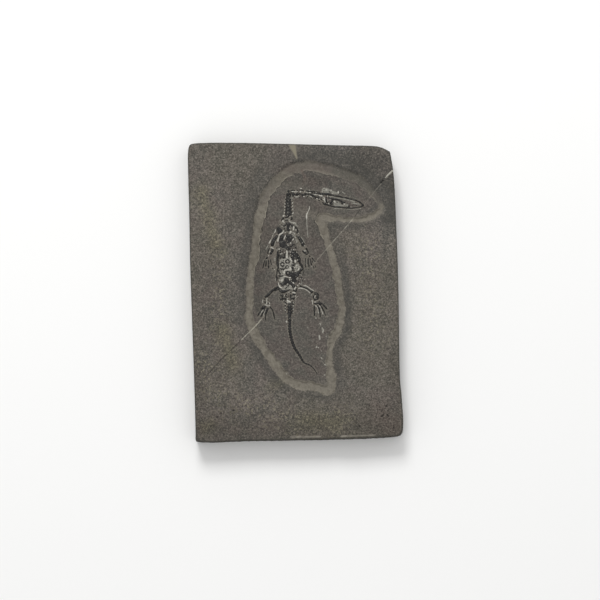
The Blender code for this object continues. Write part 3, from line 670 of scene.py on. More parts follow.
is_above = add(shaft_tree, "ShaderNodeMath", {0: spot["Z"], 1: 0.0}, operation="GREATER_THAN")
thickness = add(shaft_tree, "ShaderNodeMix", {"Factor": is_above, "A": given["Sunk depth"], "B": raised})
level = add(shaft_tree, "ShaderNodeMath", {0: spot["Z"], 1: half_width}, operation="DIVIDE")
pressed = add(shaft_tree, "ShaderNodeMath", {0: level, 1: thickness}, operation="MULTIPLY")
flat_spot = add(shaft_tree, "ShaderNodeCombineXYZ", {"X": spot["X"], "Y": spot["Y"], "Z": pressed})
flat = add(shaft_tree, "GeometryNodeSetPosition", {"Geometry": swept, "Position": flat_spot})
close_tree(shaft_tree, given, flat)

# A row of vertebrae: one short bead after another along the line, as wide as the line is there
row_tree, given = nodes_tree("row_of_vertebrae", "Vertebra length", "Tallness")
path = add(row_tree, "GeometryNodeMeshToCurve", {"Mesh": given["Lines"]})
joints = add(row_tree, "GeometryNodeResampleCurve", {"Curve": path, "Length": given["Vertebra length"]},
             mode="LENGTH")
bead = add(row_tree, "GeometryNodeMeshIcoSphere", {"Radius": 1.0, "Subdivisions": 2})
tangent = add(row_tree, "GeometryNodeInputTangent")
turn = add(row_tree, "FunctionNodeAlignRotationToVector", {"Vector": tangent}, axis="X")
half_width = add(row_tree, "GeometryNodeInputNamedAttribute", {"Name": "half_width"}, data_type="FLOAT")
half_length = add(row_tree, "ShaderNodeMath", {0: given["Vertebra length"], 1: BEAD_SHARE},
                  operation="MULTIPLY")
half_height = add(row_tree, "ShaderNodeMath", {0: half_width, 1: given["Tallness"]}, operation="MULTIPLY")
bead_size = add(row_tree, "ShaderNodeCombineXYZ", {"X": half_length, "Y": half_width, "Z": half_height})
placed = add(row_tree, "GeometryNodeInstanceOnPoints", {
    "Points": joints, "Instance": bead, "Rotation": turn, "Scale": bead_size})
close_tree(row_tree, given, placed)


def grown(tree, paths, sizes):
    """Points and faces that a tree makes of paths of (x, y, half width, relief)."""
    mesh = bpy.data.meshes.new("paths")
    points = np.concatenate(paths)
    edges, first = [], 0
    for path in paths:
        edges += [(first + i, first + i + 1) for i in range(len(path) - 1)]
        first += len(path)
    mesh.from_pydata([(x, y, 0.0) for x, y in points[:, :2].tolist()], edges, [])
    carry(mesh, "half_width", points[:, 2])
    carry(mesh, "relief", points[:, 3])
    holder = bpy.data.objects.new("paths", mesh)
    bpy.context.scene.collection.objects.link(holder)
    modifier = holder.modifiers.new("shape", "NODES")
    modifier.node_group = tree
    sockets = {item.name: item.identifier for item in tree.interface.items_tree if item.in_out == "INPUT"}
    for name, value in {"Material": fossil_bone, **sizes}.items():
        modifier[sockets[name]] = value
    shaped = bpy.data.meshes.new_from_object(holder.evaluated_get(bpy.context.evaluated_depsgraph_get()))
    corners = np.zeros(len(shaped.vertices) * 3, np.float32)
    shaped.vertices.foreach_get("co", corners)
    faces = [tuple(face.vertices) for face in shaped.polygons]
    for thing, kept in ((holder, bpy.data.objects), (shaped, bpy.data.meshes), (mesh, bpy.data.meshes)):
        kept.remove(thing)
    return corners.reshape(-1, 3).astype(float), faces


def laid(shape, raised=0.0):
    """Sets a shape that was made flat on the face of the stone."""
    points, faces = shape
    points[:, 2] = np.minimum(points[:, 2] + raised, MOST_RELIEF) + stone_height(points[:, 0], points[:, 1])
    return points, faces


def sunk_lines(lines, tall, raised=0.0):
    """Lens-shaped lines of (x, y, width), lying in the face of the stone."""
    chance = np.random.default_rng(UNEVEN_SEED)
    paths = []
    for line in lines:
        if len(line) > 1:
            path = curve_through(line, SWEEP_STEP)
        else:
            x, y, width = line[0]
            reach = SCRAP_HALF_LENGTH * width
            path = np.array([[x - reach, y, width], [x, y, width], [x + reach, y, width]])
        run = np.concatenate([[0.0], np.cumsum(np.hypot(*np.diff(path[:, :2], axis=0).T))])
        half = 0.5 * path[:, 2] * (1 + UNEVENNESS * chance.uniform(-1, 1, len(path)))
        blunt = np.clip(np.minimum(run, run[-1] - run) / np.maximum(half, 0.2), 0.0, 1.0)
        half = half * np.sqrt(1 - 0.9 * (1 - blunt) ** 2)
        relief = 2 * half * tall * (1 + UNEVENNESS * chance.uniform(-1, 1, len(path)))
        paths.append(np.column_stack([path[:, :2], half, relief * np.sqrt(1 - 0.85 * (1 - blunt) ** 2)]))
    return laid(grown(shaft_tree, paths, {"Sunk depth": SUNK_DEPTH}), raised)


def vertebra_row(line, length, tall):
    """A row of vertebrae along a line of (x, y, width)."""
    path = curve_through(line, SWEEP_STEP)
    path = np.column_stack([path[:, :2], 0.5 * path[:, 2], path[:, 2] * tall])
    return laid(grown(row_tree, [path], {"Vertebra length": length, "Tallness": tall}))


def splinters(border, count, longest, seed):
    """Short lines of broken bone or calcite strewn at random inside a border."""
    chance = np.random.default_rng(seed)
    border = np.array(border, float)
    lines = []
    while len(lines) < count:
        x, y = chance.uniform(border.min(axis=0), border.max(axis=0))
        angle, reach = chance.uniform(0, math.pi), 0.5 * longest * chance.uniform(0.3, 1.0)
        width = longest * chance.uniform(0.3, 0.5)
        aside, along = reach * math.cos(angle), reach * math.sin(angle)
        if to_line(np.array([x]), np.array([y]), border, closed=True)[3][0]:
            lines.append([(x - aside, y - along, 0.7 * width), (x, y, width),
                          (x + aside, y + along, 0.6 * width)])
    return lines


def joined(*parts):
    """One list of points and faces from several."""
    points, faces, first = [], [], 0
    for some_points, some_faces in parts:
        points.append(some_points)
        faces += [tuple(first + i for i in face) for face in some_faces]
        first += len(some_points)
    return np.concatenate(points), faces


def sunk_plate(border, tall, edge=1.4):
    """Points and faces of a flat bone with a rounded edge, lying in the face of the stone."""
    loop = curve_through(border, PLATE_STEP, closed=True)
    low, high = loop.min(axis=0), loop.max(axis=0)
    inner = np.meshgrid(np.arange(low[0], high[0], PLATE_STEP), np.arange(low[1], high[1], PLATE_STEP))
    inner_x, inner_y = inner[0].ravel(), inner[1].ravel()
    gap, _, _, within = to_line(inner_x, inner_y, loop, closed=True)
    keep = within & (gap > 0.5 * PLATE_STEP)
    x, y = np.concatenate([loop[:, 0], inner_x[keep]]), np.concatenate([loop[:, 1], inner_y[keep]])
    gap = np.concatenate([np.zeros(len(loop)), gap[keep]])
    count, total = len(loop), len(x)
    flat = [Vector(p) for p in np.stack([x, y], axis=1).tolist()]
    border_edges = [(i, (i + 1) % count) for i in range(count)]
    _, _, triangles, _, _, _ = delaunay_2d_cdt(flat, border_edges, [], 1, 1e-5)
    dome = np.sqrt(np.clip(1 - (1 - np.clip(gap / edge, 0, 1)) ** 2, 0.0, 1.0))
    ground = stone_height(x, y)
    upper = np.stack([x, y, ground + tall * dome + waves(x, y, PLATE_DENTS) * dome], axis=1)
    lower = np.stack([x, y, ground - PLATE_DEPTH], axis=1)
    faces = [tuple(t) for t in triangles] + [tuple(total + i for i in reversed(t)) for t in triangles]
    faces += [((i + 1) % count, i, total + i, total + (i + 1) % count) for i in range(count)]
    return np.concatenate([upper, lower]), faces


# Fossil bone: apatite blackened by bitumen, hard and slightly glossy, so it keeps small bright glints.
# Thin brown and grey worn places show the stone through it.
fossil_bone, tree, pattern = start_material(
    "fossil_bone_black_apatite", worn=(2.4, 3.0, 0.6, 0.0), fine=(0.8, 2.0, 0.6, 0.0))
tone = laid_over(tree, "0D0C0C", [("211F1E", (pattern["fine"], 0.35, 0.65)),
                                  ("4A4944", (pattern["worn"], 0.55, 0.66), 0.8)])
roughness = add(tree, "ShaderNodeMapRange", {"Value": pattern["worn"], "From Min": 0.4, "From Max": 0.7,
                                             "To Min": 0.42, "To Max": 0.62})
finish_material(tree, tone, pattern["fine"], 0.6, 0.25, {"Specular IOR Level": 0.32, "Roughness": roughness})

# Infill: pale lime mud and calcite between and inside the bones, dull, cream to grey. It fills the
# hollows that the crushed bone left, and each part of it carries its share of calcite.
infill, tree, pattern = start_material(
    "calcite_and_marl_infill", grey=(2.2, 2.0, 0.6, 0.0), fine=(0.9, 2.0, 0.6, 0.0))
marl = laid_over(tree, "68655C", [("828076", (pattern["grey"], 0.38, 0.62)),
                                  ("423F38", (pattern["fine"], 0.54, 0.38), 0.75)])
calcite = laid_over(tree, "98958B", [("B0ADA3", (pattern["grey"], 0.38, 0.62))])
tone = laid_over(tree, marl, [(calcite, "calcite")])
finish_material(tree, tone, pattern["fine"], 0.5, 0.25, {"Roughness": 0.7})


def bone_piece(name, parts, *nodes):
    """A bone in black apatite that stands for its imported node."""
    piece = make_piece(name, *joined(*parts), fossil_bone)
    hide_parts(*nodes)


def infill_piece(name, *parts):
    """Pale infill, part of the stone; each part is how much calcite it holds and its shape."""
    piece = make_piece(name, *joined(*[shape for _, shape in parts]), infill)
    carry(piece.data, "calcite", np.concatenate([np.full(len(shape[0]), share) for share, shape in parts]))


# The skull: a long low V of the lower jaw seen from below, with scraps of the palate inside it.
# It is thin black bone, cracked and pressed into the bed, and the stone between the bones is paler.
JAW = [
    [(22.4, 81.4, 1.4), (23.1, 81.8, 1.9), (24.7, 81.9, 1.8), (27.2, 81.8, 1.8), (30.1, 81.1, 1.4),
     (31.4, 80.8, 1.2), (33.6, 80.4, 1.2), (36.7, 80, 1.3), (38.8, 79.4, 1.2), (42.1, 78.8, 1.3),
     (43.2, 78.6, 1.4), (45.4, 77.9, 1.2), (47.6, 77.6, 1.1), (49.2, 77.3, 1.2), (50.9, 76.5, 1.1),
     (53.2, 75.4, 1.2), (55, 74.2, 1.1), (56.2, 73.1, 1.2)],
    [(56.3, 72.7, 1.3), (55.4, 71.7, 1.2), (53.2, 71, 0.9), (50.9, 70.7, 0.8), (48.6, 70.4, 1),
     (46.5, 70.1, 1), (44.3, 70.4, 1.3), (42.7, 70.4, 1.3), (40.3, 70.6, 0.9), (38.4, 70.9, 0.9),
     (36.9, 71, 1.3), (34.4, 71.2, 1.1), (32.7, 71.1, 0.9), (31.2, 71.7, 1.2), (29, 72.1, 1.2),
     (26.8, 72.9, 1.2), (24.7, 73.7, 1.4), (23.1, 73.5, 0.8)],
    [(55, 73.9, 1.4), (56.4, 72.7, 1.9), (55.2, 71.7, 1.3)],
    [(19.7, 81.7, 1.2), (21.7, 81.7, 1.5), (25, 81.8, 1.7), (29.1, 81.3, 1.5)],
]
PALATE = [
    [(25.3, 78.3, 1.2), (25.7, 76.5, 1.2), (26.6, 75.7, 0.9)],
    [(27.7, 78.3, 0.8), (31, 78.4, 0.8)],
    [(31.4, 77.4, 1), (34.4, 77.4, 1.1), (36.2, 76.7, 1)],
    [(37.8, 76.5, 1), (38.8, 75.4, 1.1), (40.2, 75, 1.2), (41.9, 75.2, 1.1)],
    [(40.2, 74.8, 1.3), (38.4, 73.5, 1.4)],
    [(34.4, 75.6, 0.9), (35.4, 74.3, 1)],
    [(28.6, 75.2, 1.3), (29.9, 73.5, 1.5), (30.1, 72.8, 1.4)],
    [(31.4, 74.3, 1.3), (30.3, 73.2, 1.4)],
    [(44.7, 72.9, 1.3), (44.7, 70.5, 1.4)],
    [(45.4, 76.9, 0.8), (45.4, 76, 0.8)],
    [(47.6, 72.4, 0.9)],
    [(50.4, 72.5, 1), (51.4, 72.5, 1)],
    [(22.7, 76.4, 1.3), (23.3, 76.4, 1.3)],
    [(28.6, 83.9, 1.4)],
    [(37.2, 83.3, 1.3), (37.2, 82.8, 1.3)],
    [(29.1, 78.1, 1.2), (31.9, 77.7, 1.4), (34.9, 77.4, 1.4), (37.4, 76.5, 1.4), (39.4, 75, 1.4),
     (41.3, 74.5, 1.2)],
    [(30.6, 76.7, 1.4), (30.5, 74.7, 1.5), (29.8, 72.9, 1.4)],
    [(39.6, 74.4, 1), (38.3, 73.4, 1)],
    [(25.8, 77.6, 1.1), (26.8, 76, 1.2)],
    [(23.8, 73.2, 1.1), (26.6, 72.9, 1.2)],
    [(27.1, 74.4, 1.1)],
]
HEAD_CALCITE = [
    [(32.5, 76.4, 1.3), (33.3, 74.3, 1.3)],
    [(27.9, 73.9, 1.5)],
    [(46.2, 71, 0.9), (46.9, 71, 0.9)],
    [(25.3, 85.3, 1.7), (27.1, 85, 1.7)],
    [(29.7, 85.5, 1.7), (30, 84.5, 1.7)],
    [(35.8, 84.4, 1.1), (35.8, 82.2, 1.3)],
    [(23.5, 86.7, 2.1), (24.5, 86.5, 1.5)],
    [(22.7, 77.6, 1.5), (23.3, 77.5, 1.3)],
    [(24.4, 78.9, 1.1), (24.6, 76.1, 1.1), (25.4, 75.4, 1.1)],
    [(40.4, 74, 0.9), (41.3, 72.9, 1.4)],
    [(22.8, 77.7, 1.2), (24.2, 77, 1)],
    [(24.7, 75.7, 1.2), (25.5, 74.5, 1.1)],
    [(22.8, 74.5, 1)],
    [(36.1, 83.8, 1.2), (36.1, 82.7, 1.1)],
]
HEAD_MARL = [
    [(22.5, 85.2, 1.6), (25, 84.3, 1.4), (27.5, 84.5, 1.4)],
    [(22, 83.4, 0.9), (26.8, 83.2, 1), (30.1, 82.3, 1)],
    [(32.5, 83.5, 1.3), (33.6, 83.5, 1.3)],
    [(39.1, 83.8, 1.1), (41.6, 81.8, 1.2)],
    [(40.6, 80.3, 0.8)],
    [(37.9, 81.1, 0.8)],
    [(45.7, 80, 1.2)],
    [(48.9, 78.9, 0.8)],
    [(47.8, 83.5, 0.8)],
    [(53.2, 77.8, 0.8)],
    [(41.9, 73.4, 1.2), (41.9, 72, 1.9), (43.2, 72.5, 1.2)],
    [(28.1, 79.4, 0.8), (31.4, 79.5, 0.9), (33.1, 78.9, 0.9), (35.4, 78.3, 1), (39.9, 77.8, 1),
     (42.4, 77.4, 1.2), (44.9, 76.7, 1.4), (47.4, 75.9, 1.2), (49.9, 75, 1)],
    [(34.4, 73.1, 1.2), (38.4, 72, 1.2), (41, 72, 1.2)],
    [(31.6, 76, 0.8)],
    [(36.2, 74.9, 0.9)],
    [(31.4, 72.8, 0.8)],
    [(46.6, 74.4, 1.2), (49.1, 73.9, 1.2), (52, 73.5, 1.2), (54.1, 73, 1)],
    [(52.8, 74.2, 0.8)],
    [(32.3, 69.7, 0.6), (38.8, 70, 0.6)],
    [(43.2, 69.2, 0.6), (51.5, 69.1, 0.6), (55.2, 70.1, 0.7)],
    [(41.4, 68.6, 1.2)],
]
HEAD_BEDS = [
    [(22.5, 86.8), (25.8, 87.3), (28.6, 86), (31.6, 84.5), (34.9, 83.8), (35.1, 81.7), (30.8, 82.3),
     (25.8, 83.3), (22.2, 84)],
    [(32.1, 75.9), (34.9, 76.2), (37.4, 74.5), (40.8, 74), (44.4, 73.5), (44.1, 71.5), (39.9, 71.3),
     (35.8, 71.7), (32.8, 71.9), (31.8, 74.2)],
]
bone_piece("jaw_bone", [sunk_lines(JAW, 0.45)], "lower_jaw")
bone_piece("palate_scraps", [sunk_lines(PALATE, 0.4)], "palate_bones")
infill_piece("skull_infill", (1.0, sunk_lines(HEAD_CALCITE, 0.22)), (0.15, sunk_lines(HEAD_MARL, 0.15)),
             *[(0.12, sunk_plate(bed, 0.06, edge=0.8)) for bed in HEAD_BEDS])

# The neck: a string of short vertebrae that runs up from the shoulders and turns towards the head.
# The part behind the head is broken into small bits with pale stone between them.
NECK_FRONT = [
    [(-3, 85, 1.2), (-0.3, 85, 1.2)],
    [(2, 85, 1.2)],
    [(3, 85.4, 0.9), (5.9, 85.1, 0.9), (7, 84.2, 0.9)],
    [(-4.2, 82, 1.3), (-3.6, 81.8, 1.3)],
    [(-2.7, 82.9, 2.1), (-1.7, 81.7, 2.7), (-0.8, 80.3, 2.1)],
    [(0.7, 82.4, 1.9), (1.3, 81.7, 3), (1.6, 80.9, 1.8)],
    [(3, 82.2, 2), (3.9, 82.2, 2)],
    [(5.4, 81.8, 1.9), (6.1, 81.8, 1.9)],
    [(7.1, 81, 1.5)],
    [(7.6, 82.6, 1.8), (9.5, 81.3, 1.9)],
    [(10.6, 81.9, 1.8), (11.7, 81.9, 1.8)],
    [(10, 80.5, 1), (10.7, 79.4, 0.9)],
    [(10.5, 84.4, 1.2)],
    [(12.8, 84.2, 1.6), (12.8, 83.7, 1.6)],
    [(13.8, 83, 1.2)],
    [(16.1, 82.7, 1.2), (17.1, 83.4, 1.2)],
    [(18.2, 82.3, 1.3)],
    [(20.3, 81.8, 1.8), (21.3, 82.8, 1.8)],
    [(14.6, 79.9, 1.9), (16.3, 79.8, 1.9)],
    [(18.4, 79.1, 2), (19.9, 78.6, 2.3)],
    [(21.8, 79.2, 1.3), (22.8, 79.2, 1.3)],
    [(21.9, 77.8, 1.2)],
    [(-6.2, 82.8, 1.2), (-6.9, 81.2, 1.3)],
    [(-3.6, 83.5, 0.9), (-2.9, 82.8, 1.1), (-0.7, 81.3, 1.1), (1.7, 81.5, 1.1), (4.2, 82, 1.1),
     (6.7, 81.4, 1.1), (9.4, 81.4, 1.1), (12, 82, 0.9)],
    [(12.9, 83.5, 0.8), (15, 82.6, 0.9), (17.8, 82.3, 0.9), (21.3, 82.5, 1)],
    [(13, 80.7, 0.9), (15, 79.9, 1.1), (17.5, 79.4, 1.1), (20, 78.6, 1.2), (21.7, 77.9, 1),
     (22.7, 76.7, 1)],
    [(-5.8, 84.5, 1.2), (-5.4, 83.3, 1.1)],
    [(8.9, 84.8, 0.8), (11.9, 84.3, 1), (14.7, 84.2, 0.9), (17.8, 83.7, 0.8), (20.5, 83.5, 0.7)],
    [(11.9, 82, 1.2), (13.7, 81.4, 1.3), (15.4, 81.2, 1.2)],
    [(16.4, 78.5, 1), (17.7, 77.9, 1.1)],
    [(19.2, 76.9, 1.1), (20.7, 76, 0.9)],
    [(22.2, 74.9, 1), (23.7, 74.4, 1.1)],
    [(25.1, 75.9, 0.8), (26.1, 74.4, 0.9)],
    [(-4.9, 83, 1.1), (-3.9, 81, 1.2), (-4.1, 79.3, 1)],
    [(-7.1, 82.5, 1), (-6.9, 79.7, 1.1)],
    [(-4.2, 85, 0.9), (-2.7, 84.3, 0.8)],
]
NECK_JOINTS = [
    [(-6.1, 80.2, 0.9), (-7, 78.7, 1.1), (-7.1, 76.9, 1), (-7.3, 74.3, 1.2), (-7.1, 71.8, 1.1),
     (-7.3, 69.5, 1.2), (-7.6, 67.2, 1.2), (-7.8, 64.6, 1.1)],
    [(-5.2, 80.5, 0.8), (-4.6, 78, 1), (-3.9, 75.4, 1.2), (-4.3, 72.8, 1.3), (-4.1, 70.5, 1.1),
     (-3.8, 68.5, 1.2), (-3.4, 66.4, 1.2), (-4.4, 64.1, 1.2)],
    [(-6.7, 75.4, 1), (-3.7, 75.4, 1)],
    [(-7.1, 72.9, 0.9), (-4.4, 72.8, 0.9)],
    [(-7.1, 70, 1), (-3.9, 70.3, 1)],
    [(-7.7, 67.6, 1.1), (-3.1, 67.5, 1.1)],
    [(-7.6, 64.8, 1), (-3.9, 64.8, 1)],
]
# Bars across the neck between its vertebrae: heights at both ends and at the middle
NECK_JOINTS += [[(-8.6, at_sides, 0.7), (-5.4, at_middle, 1.1), (-2, at_sides, 0.7)]
                for at_sides, at_middle in ((77.6, 77.4), (75.2, 75), (72.5, 72.4), (69.8, 69.6),
                                            (67.1, 67), (64.6, 64.4))]
NECK_CALCITE = [
    [(3.8, 83.8, 1.6), (5.2, 83.8, 1.6)],
    [(7.7, 83.5, 1.3), (8.4, 83.7, 1.2)],
    [(-2.9, 81.1, 1.2), (-2.4, 81, 1)],
    [(19.2, 80.9, 1), (21.5, 80.5, 1.6), (22.9, 80, 1)],
    [(21.2, 80.6, 1.4)],
    [(22.5, 83.6, 1.4)],
    [(-9.9, 63.6, 1.7), (-8.8, 63.7, 1.4)],
    [(-6.1, 69.3, 1.1)],
    [(4.2, 86.5, 1.4), (5.6, 86.5, 1.4)],
    [(-1.1, 83.6, 0.7), (1.7, 83.7, 0.8)],
    [(9.5, 83.3, 0.7), (10.4, 83.1, 0.7)],
    [(14.2, 81.4, 0.7), (16.5, 81.3, 0.7)],
    [(0.4, 79.5, 0.7), (3.1, 79.7, 0.8)],
    [(11, 83.3, 0.8), (13.5, 82.8, 0.9)],
    [(16.4, 81.8, 0.8), (18.7, 81.4, 0.9)],
    [(17.3, 78.1, 0.7), (19.2, 77.7, 0.8)],
    [(-3.1, 83.9, 0.8), (-1.1, 84.1, 0.9)],
    [(6.2, 79.8, 0.7), (8.1, 79.7, 0.7)],
    [(12, 80.1, 0.7), (13.9, 79.2, 0.7)],
]
NECK_MARL = [
    [(-2.4, 83.7, 0.8), (-0.3, 83.7, 1), (2.2, 83.8, 1)],
    [(-2.9, 79.3, 1.2), (-2.7, 78.2, 1.4), (-3.1, 77.7, 1)],
    [(-0.2, 79.7, 0.9), (0.9, 79.3, 1.1), (3.7, 79.8, 0.9)],
    [(14, 84.7, 0.8)],
    [(13.9, 81.7, 0.7), (16.7, 81.4, 0.9), (18.3, 81.1, 0.8)],
    [(-1.2, 68.2, 0.8), (-1.2, 67.1, 0.8)],
    [(-6.1, 83, 0.8), (-5.1, 80.8, 0.9)],
]
NECK_SIDES = [
    [(-7.7, 78.5, 1.4), (-8.3, 78.6, 1.6)],
    [(-8.1, 76.2, 1.4), (-8.6, 76.1, 1.6)],
    [(-8.1, 73.7, 1.6), (-8.9, 73.5, 2)],
    [(-8.3, 71.1, 1.5), (-9.2, 71, 1.7)],
    [(-8.4, 68.6, 1.5), (-9.2, 68.4, 1.8)],
    [(-8.5, 66.1, 1.5), (-9.4, 65.9, 1.8)],
    [(-3.6, 79.5, 1.2), (-3.1, 79.3, 1.3)],
    [(-3.3, 76.9, 1.4), (-2.6, 76.9, 1.6)],
    [(-2.9, 74.5, 1.7), (-1.7, 74.3, 1.8)],
    [(-2.7, 71.8, 1.7), (-1.6, 71.6, 2)],
    [(-2.5, 69.2, 1.6), (-1.4, 69, 1.8)],
    [(-2.3, 66.2, 1.7), (-1.2, 65.7, 1.8)],
    [(-2.7, 63.7, 1.3), (-2.1, 63.4, 1.3)],
]
NECK_TOPS = [
    [(-5.5, 76.5, 1)],
    [(-6.1, 74, 0.9)],
    [(-5.6, 71.7, 1.1)],
    [(-6.1, 69.1, 1)],
    [(-6.1, 66.2, 1.1)],
    [(-6.5, 63.7, 1.3)],
]
NECK_COLUMN = [(-5.6, 84.2, 2.0), (-5.9, 81.0, 2.8), (-6.2, 77.5, 3.3), (-5.9, 74.0, 3.6),
               (-5.5, 70.0, 4.0), (-5.5, 66.5, 4.0), (-6.0, 63.8, 3.2)]
NAPE = [(-4.0, 85.6), (12.0, 86.0), (24.0, 84.4), (33.0, 82.0), (33.0, 74.4), (25.0, 74.6), (14.0, 78.4),
        (-4.0, 79.0)]
bone_piece("neck_bones", [sunk_lines(NECK_FRONT, 0.45), sunk_lines(NECK_JOINTS, 0.4),
                          sunk_lines(splinters(NAPE, 46, 1.9, seed=71), 0.5),
                          vertebra_row(NECK_COLUMN, length=2.55, tall=0.26)], "neck_vertebrae")
infill_piece("neck_infill", (1.0, sunk_lines(NECK_CALCITE, 0.2, raised=0.1)),
             (0.9, sunk_lines(splinters(NAPE, 34, 1.7, seed=72), 0.2, raised=0.15)),
             (0.35, sunk_lines(NECK_MARL, 0.15, raised=0.1)),
             (0.85, sunk_lines(NECK_SIDES, 0.25, raised=0.25)),
             (0.1, sunk_lines(NECK_TOPS, 0.1, raised=0.45)))

# The shoulders: collar bones, shoulder blades and the two broad coracoid plates of the breast.
# They are flat black bones set in the bed, with pale calcite and marl in their gaps and cracks.
COLLAR = [
    [(-8.8, 62.3, 1.2), (-7.2, 62.2, 1.2), (-5.9, 62.7, 1.1)],
    [(-9, 61.9, 1.1), (-10.2, 61.6, 1.5), (-11, 60.4, 1.1), (-11.5, 59.4, 1.2)],
    [(-3.2, 62.8, 1.4), (-2.9, 61.6, 1.7), (-3.1, 60.8, 1.5), (-3.7, 60.2, 1.3)],
    [(-8.4, 59.9, 1.5), (-6.1, 59.8, 1.5)],
    [(-11.4, 56.8, 1.3), (-10.8, 56.3, 1.4)],
    [(-10.5, 55.6, 0.9), (-9.5, 55.3, 1.1), (-8.2, 55.9, 1.2), (-7.4, 56.5, 1.1)],
    [(-9.6, 53.2, 1.4), (-9, 53, 1.4), (-8.2, 53.1, 0.9)],
    [(-8.7, 51.1, 1.3), (-8.1, 51, 1.3), (-7.1, 51.3, 0.9)],
    [(-5, 54.6, 1), (-4.4, 54.6, 1)],
    [(-3.1, 52.3, 1.3), (-2.8, 51.6, 1.2)],
    [(-13.2, 57.9, 0.8), (-12.4, 57.5, 0.8)],
    [(-6.6, 49.6, 0.9), (-6.8, 48.6, 1.3)],
]
THROAT = [
    (-7.9, 58.3), (-6.2, 58), (-4.4, 57.8), (-3.2, 56.5), (-1.7, 55.6), (-1.7, 54.3), (-2.5, 53.8),
    (-3.2, 54.6), (-3.9, 55.8), (-4.4, 55.3), (-5, 53.9), (-4.9, 52.6), (-4.2, 51.5), (-4.9, 50.6),
    (-6.4, 50.8), (-7.1, 52), (-7.1, 53.8), (-6.9, 55.4), (-7.5, 56.8),
]
RIGHT_SCAPULA = [
    [(-0.2, 54.8, 0.9), (0.6, 54.1, 1.2), (1.5, 53.1, 1.2), (1.9, 51.8, 1.1), (2.2, 50.8, 1.3),
     (1.7, 49.8, 1.2), (1.2, 48.8, 1.3)],
    [(-0.2, 53.8, 0.9), (-0.1, 52, 0.9)],
]
SHOULDER_CALCITE = [
    [(-10.5, 63, 1.4), (-9.7, 63.4, 1.5), (-8.9, 63.7, 1.3)],
    [(-11, 58.3, 1.3), (-10.1, 59, 2.1), (-9.5, 59.8, 1.3)],
    [(-9.7, 58.1, 1.3), (-8.9, 57.4, 1.4)],
    [(-4.6, 63.1, 1.3), (-4.4, 62.4, 1.4)],
    [(-8.1, 54.5, 1.4), (-7.6, 54.4, 1.4)],
    [(-4.7, 53.5, 1), (-4.2, 52.7, 1.2)],
    [(-1.2, 54.9, 1.2), (-1.3, 53.1, 1.4), (-1.4, 51.3, 1.3)],
    [(0.5, 52.6, 1.1), (0.7, 51.1, 1.3)],
    [(-3.6, 51, 1.4), (-3.9, 49.8, 1.8), (-4.7, 48.5, 1.4)],
    [(-8.7, 49.8, 1.5), (-8, 49.3, 1.5)],
    [(-10, 51.6, 1.1), (-9.7, 50.6, 1.2), (-11, 49.1, 1.2), (-12.5, 48.1, 1.3), (-13.3, 47.1, 1.3),
     (-13.6, 45.7, 1.1), (-14.1, 44.4, 1.4), (-14.5, 42.8, 1.5), (-14.4, 41.7, 1.1)],
    [(2.2, 49, 1.4), (2.9, 49.1, 1.3)],
    [(-1.2, 57.4, 1.5), (-1.9, 57.1, 1.1)],
    [(-1.9, 65.4, 1), (-2.7, 65.2, 1.4)],
    [(2.9, 52.2, 1.4), (3.5, 52.2, 1.4)],
]
SHOULDER_MARL = [
    [(-4.8, 61.1, 1), (-5, 59.8, 1), (-4.2, 58.6, 1.1), (-2.7, 57.9, 1.3), (-0.3, 57.3, 1.8),
     (1.1, 55.6, 1.3), (2.1, 54.3, 0.9)],
    [(-8.5, 60.9, 0.7), (-5.9, 61.1, 0.8)],
    [(-7.5, 58.7, 0.9), (-6.6, 58.6, 0.9)],
    [(-11.5, 54.9, 0.9), (-9.9, 54.3, 0.9)],
    [(-9.9, 56.2, 0.8)],
    [(-3.7, 54.9, 0.8)],
    [(-12.9, 59.8, 1), (-12.7, 58.8, 0.9)],
    [(-2.2, 49.8, 1.4), (-0.6, 48.8, 1.4), (-1.2, 47.6, 1)],
    [(-2.7, 48.1, 0.6), (-1.2, 46.9, 0.8), (-0.2, 45.8, 0.9), (0.9, 44.7, 0.8)],
    [(-8.3, 50.7, 0.8), (-7.1, 50.3, 0.9)],
    [(-6.7, 63.9, 1.2), (-6.2, 63.6, 1.2)],
]
BREAST_CALCITE = [
    [(-8.1, 47.3, 0.9), (-8.5, 46, 1), (-9, 44.8, 1.1), (-9.4, 43.7, 1.3)],
    [(-4.2, 40.2, 1.3), (-3.7, 41, 1.3), (-3.6, 40, 1.2)],
    [(-1.2, 44.6, 1), (-2.3, 42.9, 1.2)],
    [(-1.4, 35.8, 1.2), (-1.1, 34.9, 1.2)],
    [(-12.4, 36.8, 1.1), (-11.8, 36.9, 0.9)],
    [(-13.2, 36.5, 1.2), (-13.4, 35, 1.2)],
]
BREAST_MARL = [
    [(-6.6, 40.2, 1), (-6.1, 39.2, 1.3), (-5.5, 38.2, 1)],
    [(-7.1, 36.4, 0.9), (-5.9, 36.1, 0.9)],
    [(-10.2, 36.5, 1), (-9.9, 35.4, 1.1)],
    [(0.1, 43.8, 1.3), (1.1, 43, 1.8), (1.4, 41.3, 1.3), (0.6, 40.7, 0.9)],
    [(4.1, 38.8, 1.3), (4.1, 37.7, 1.2)],
    [(-1.9, 37.5, 1)],
    [(-14.9, 36, 0.7), (-15, 34, 0.8)],
    [(-6.8, 42.7, 1.3), (-6.1, 42.4, 1.2)],
    [(-11.5, 45.8, 0.9), (-11.4, 45, 1)],
]
SCAPULA_PLATE = [
    (-15.2, 54.1), (-13.7, 54.3), (-12.2, 53.2), (-10.9, 51.8), (-10.7, 50.8), (-11.5, 49.8),
    (-12.9, 48.9), (-13.8, 48.2), (-14.5, 48.8), (-14.9, 50.6), (-15.4, 52.6),
]
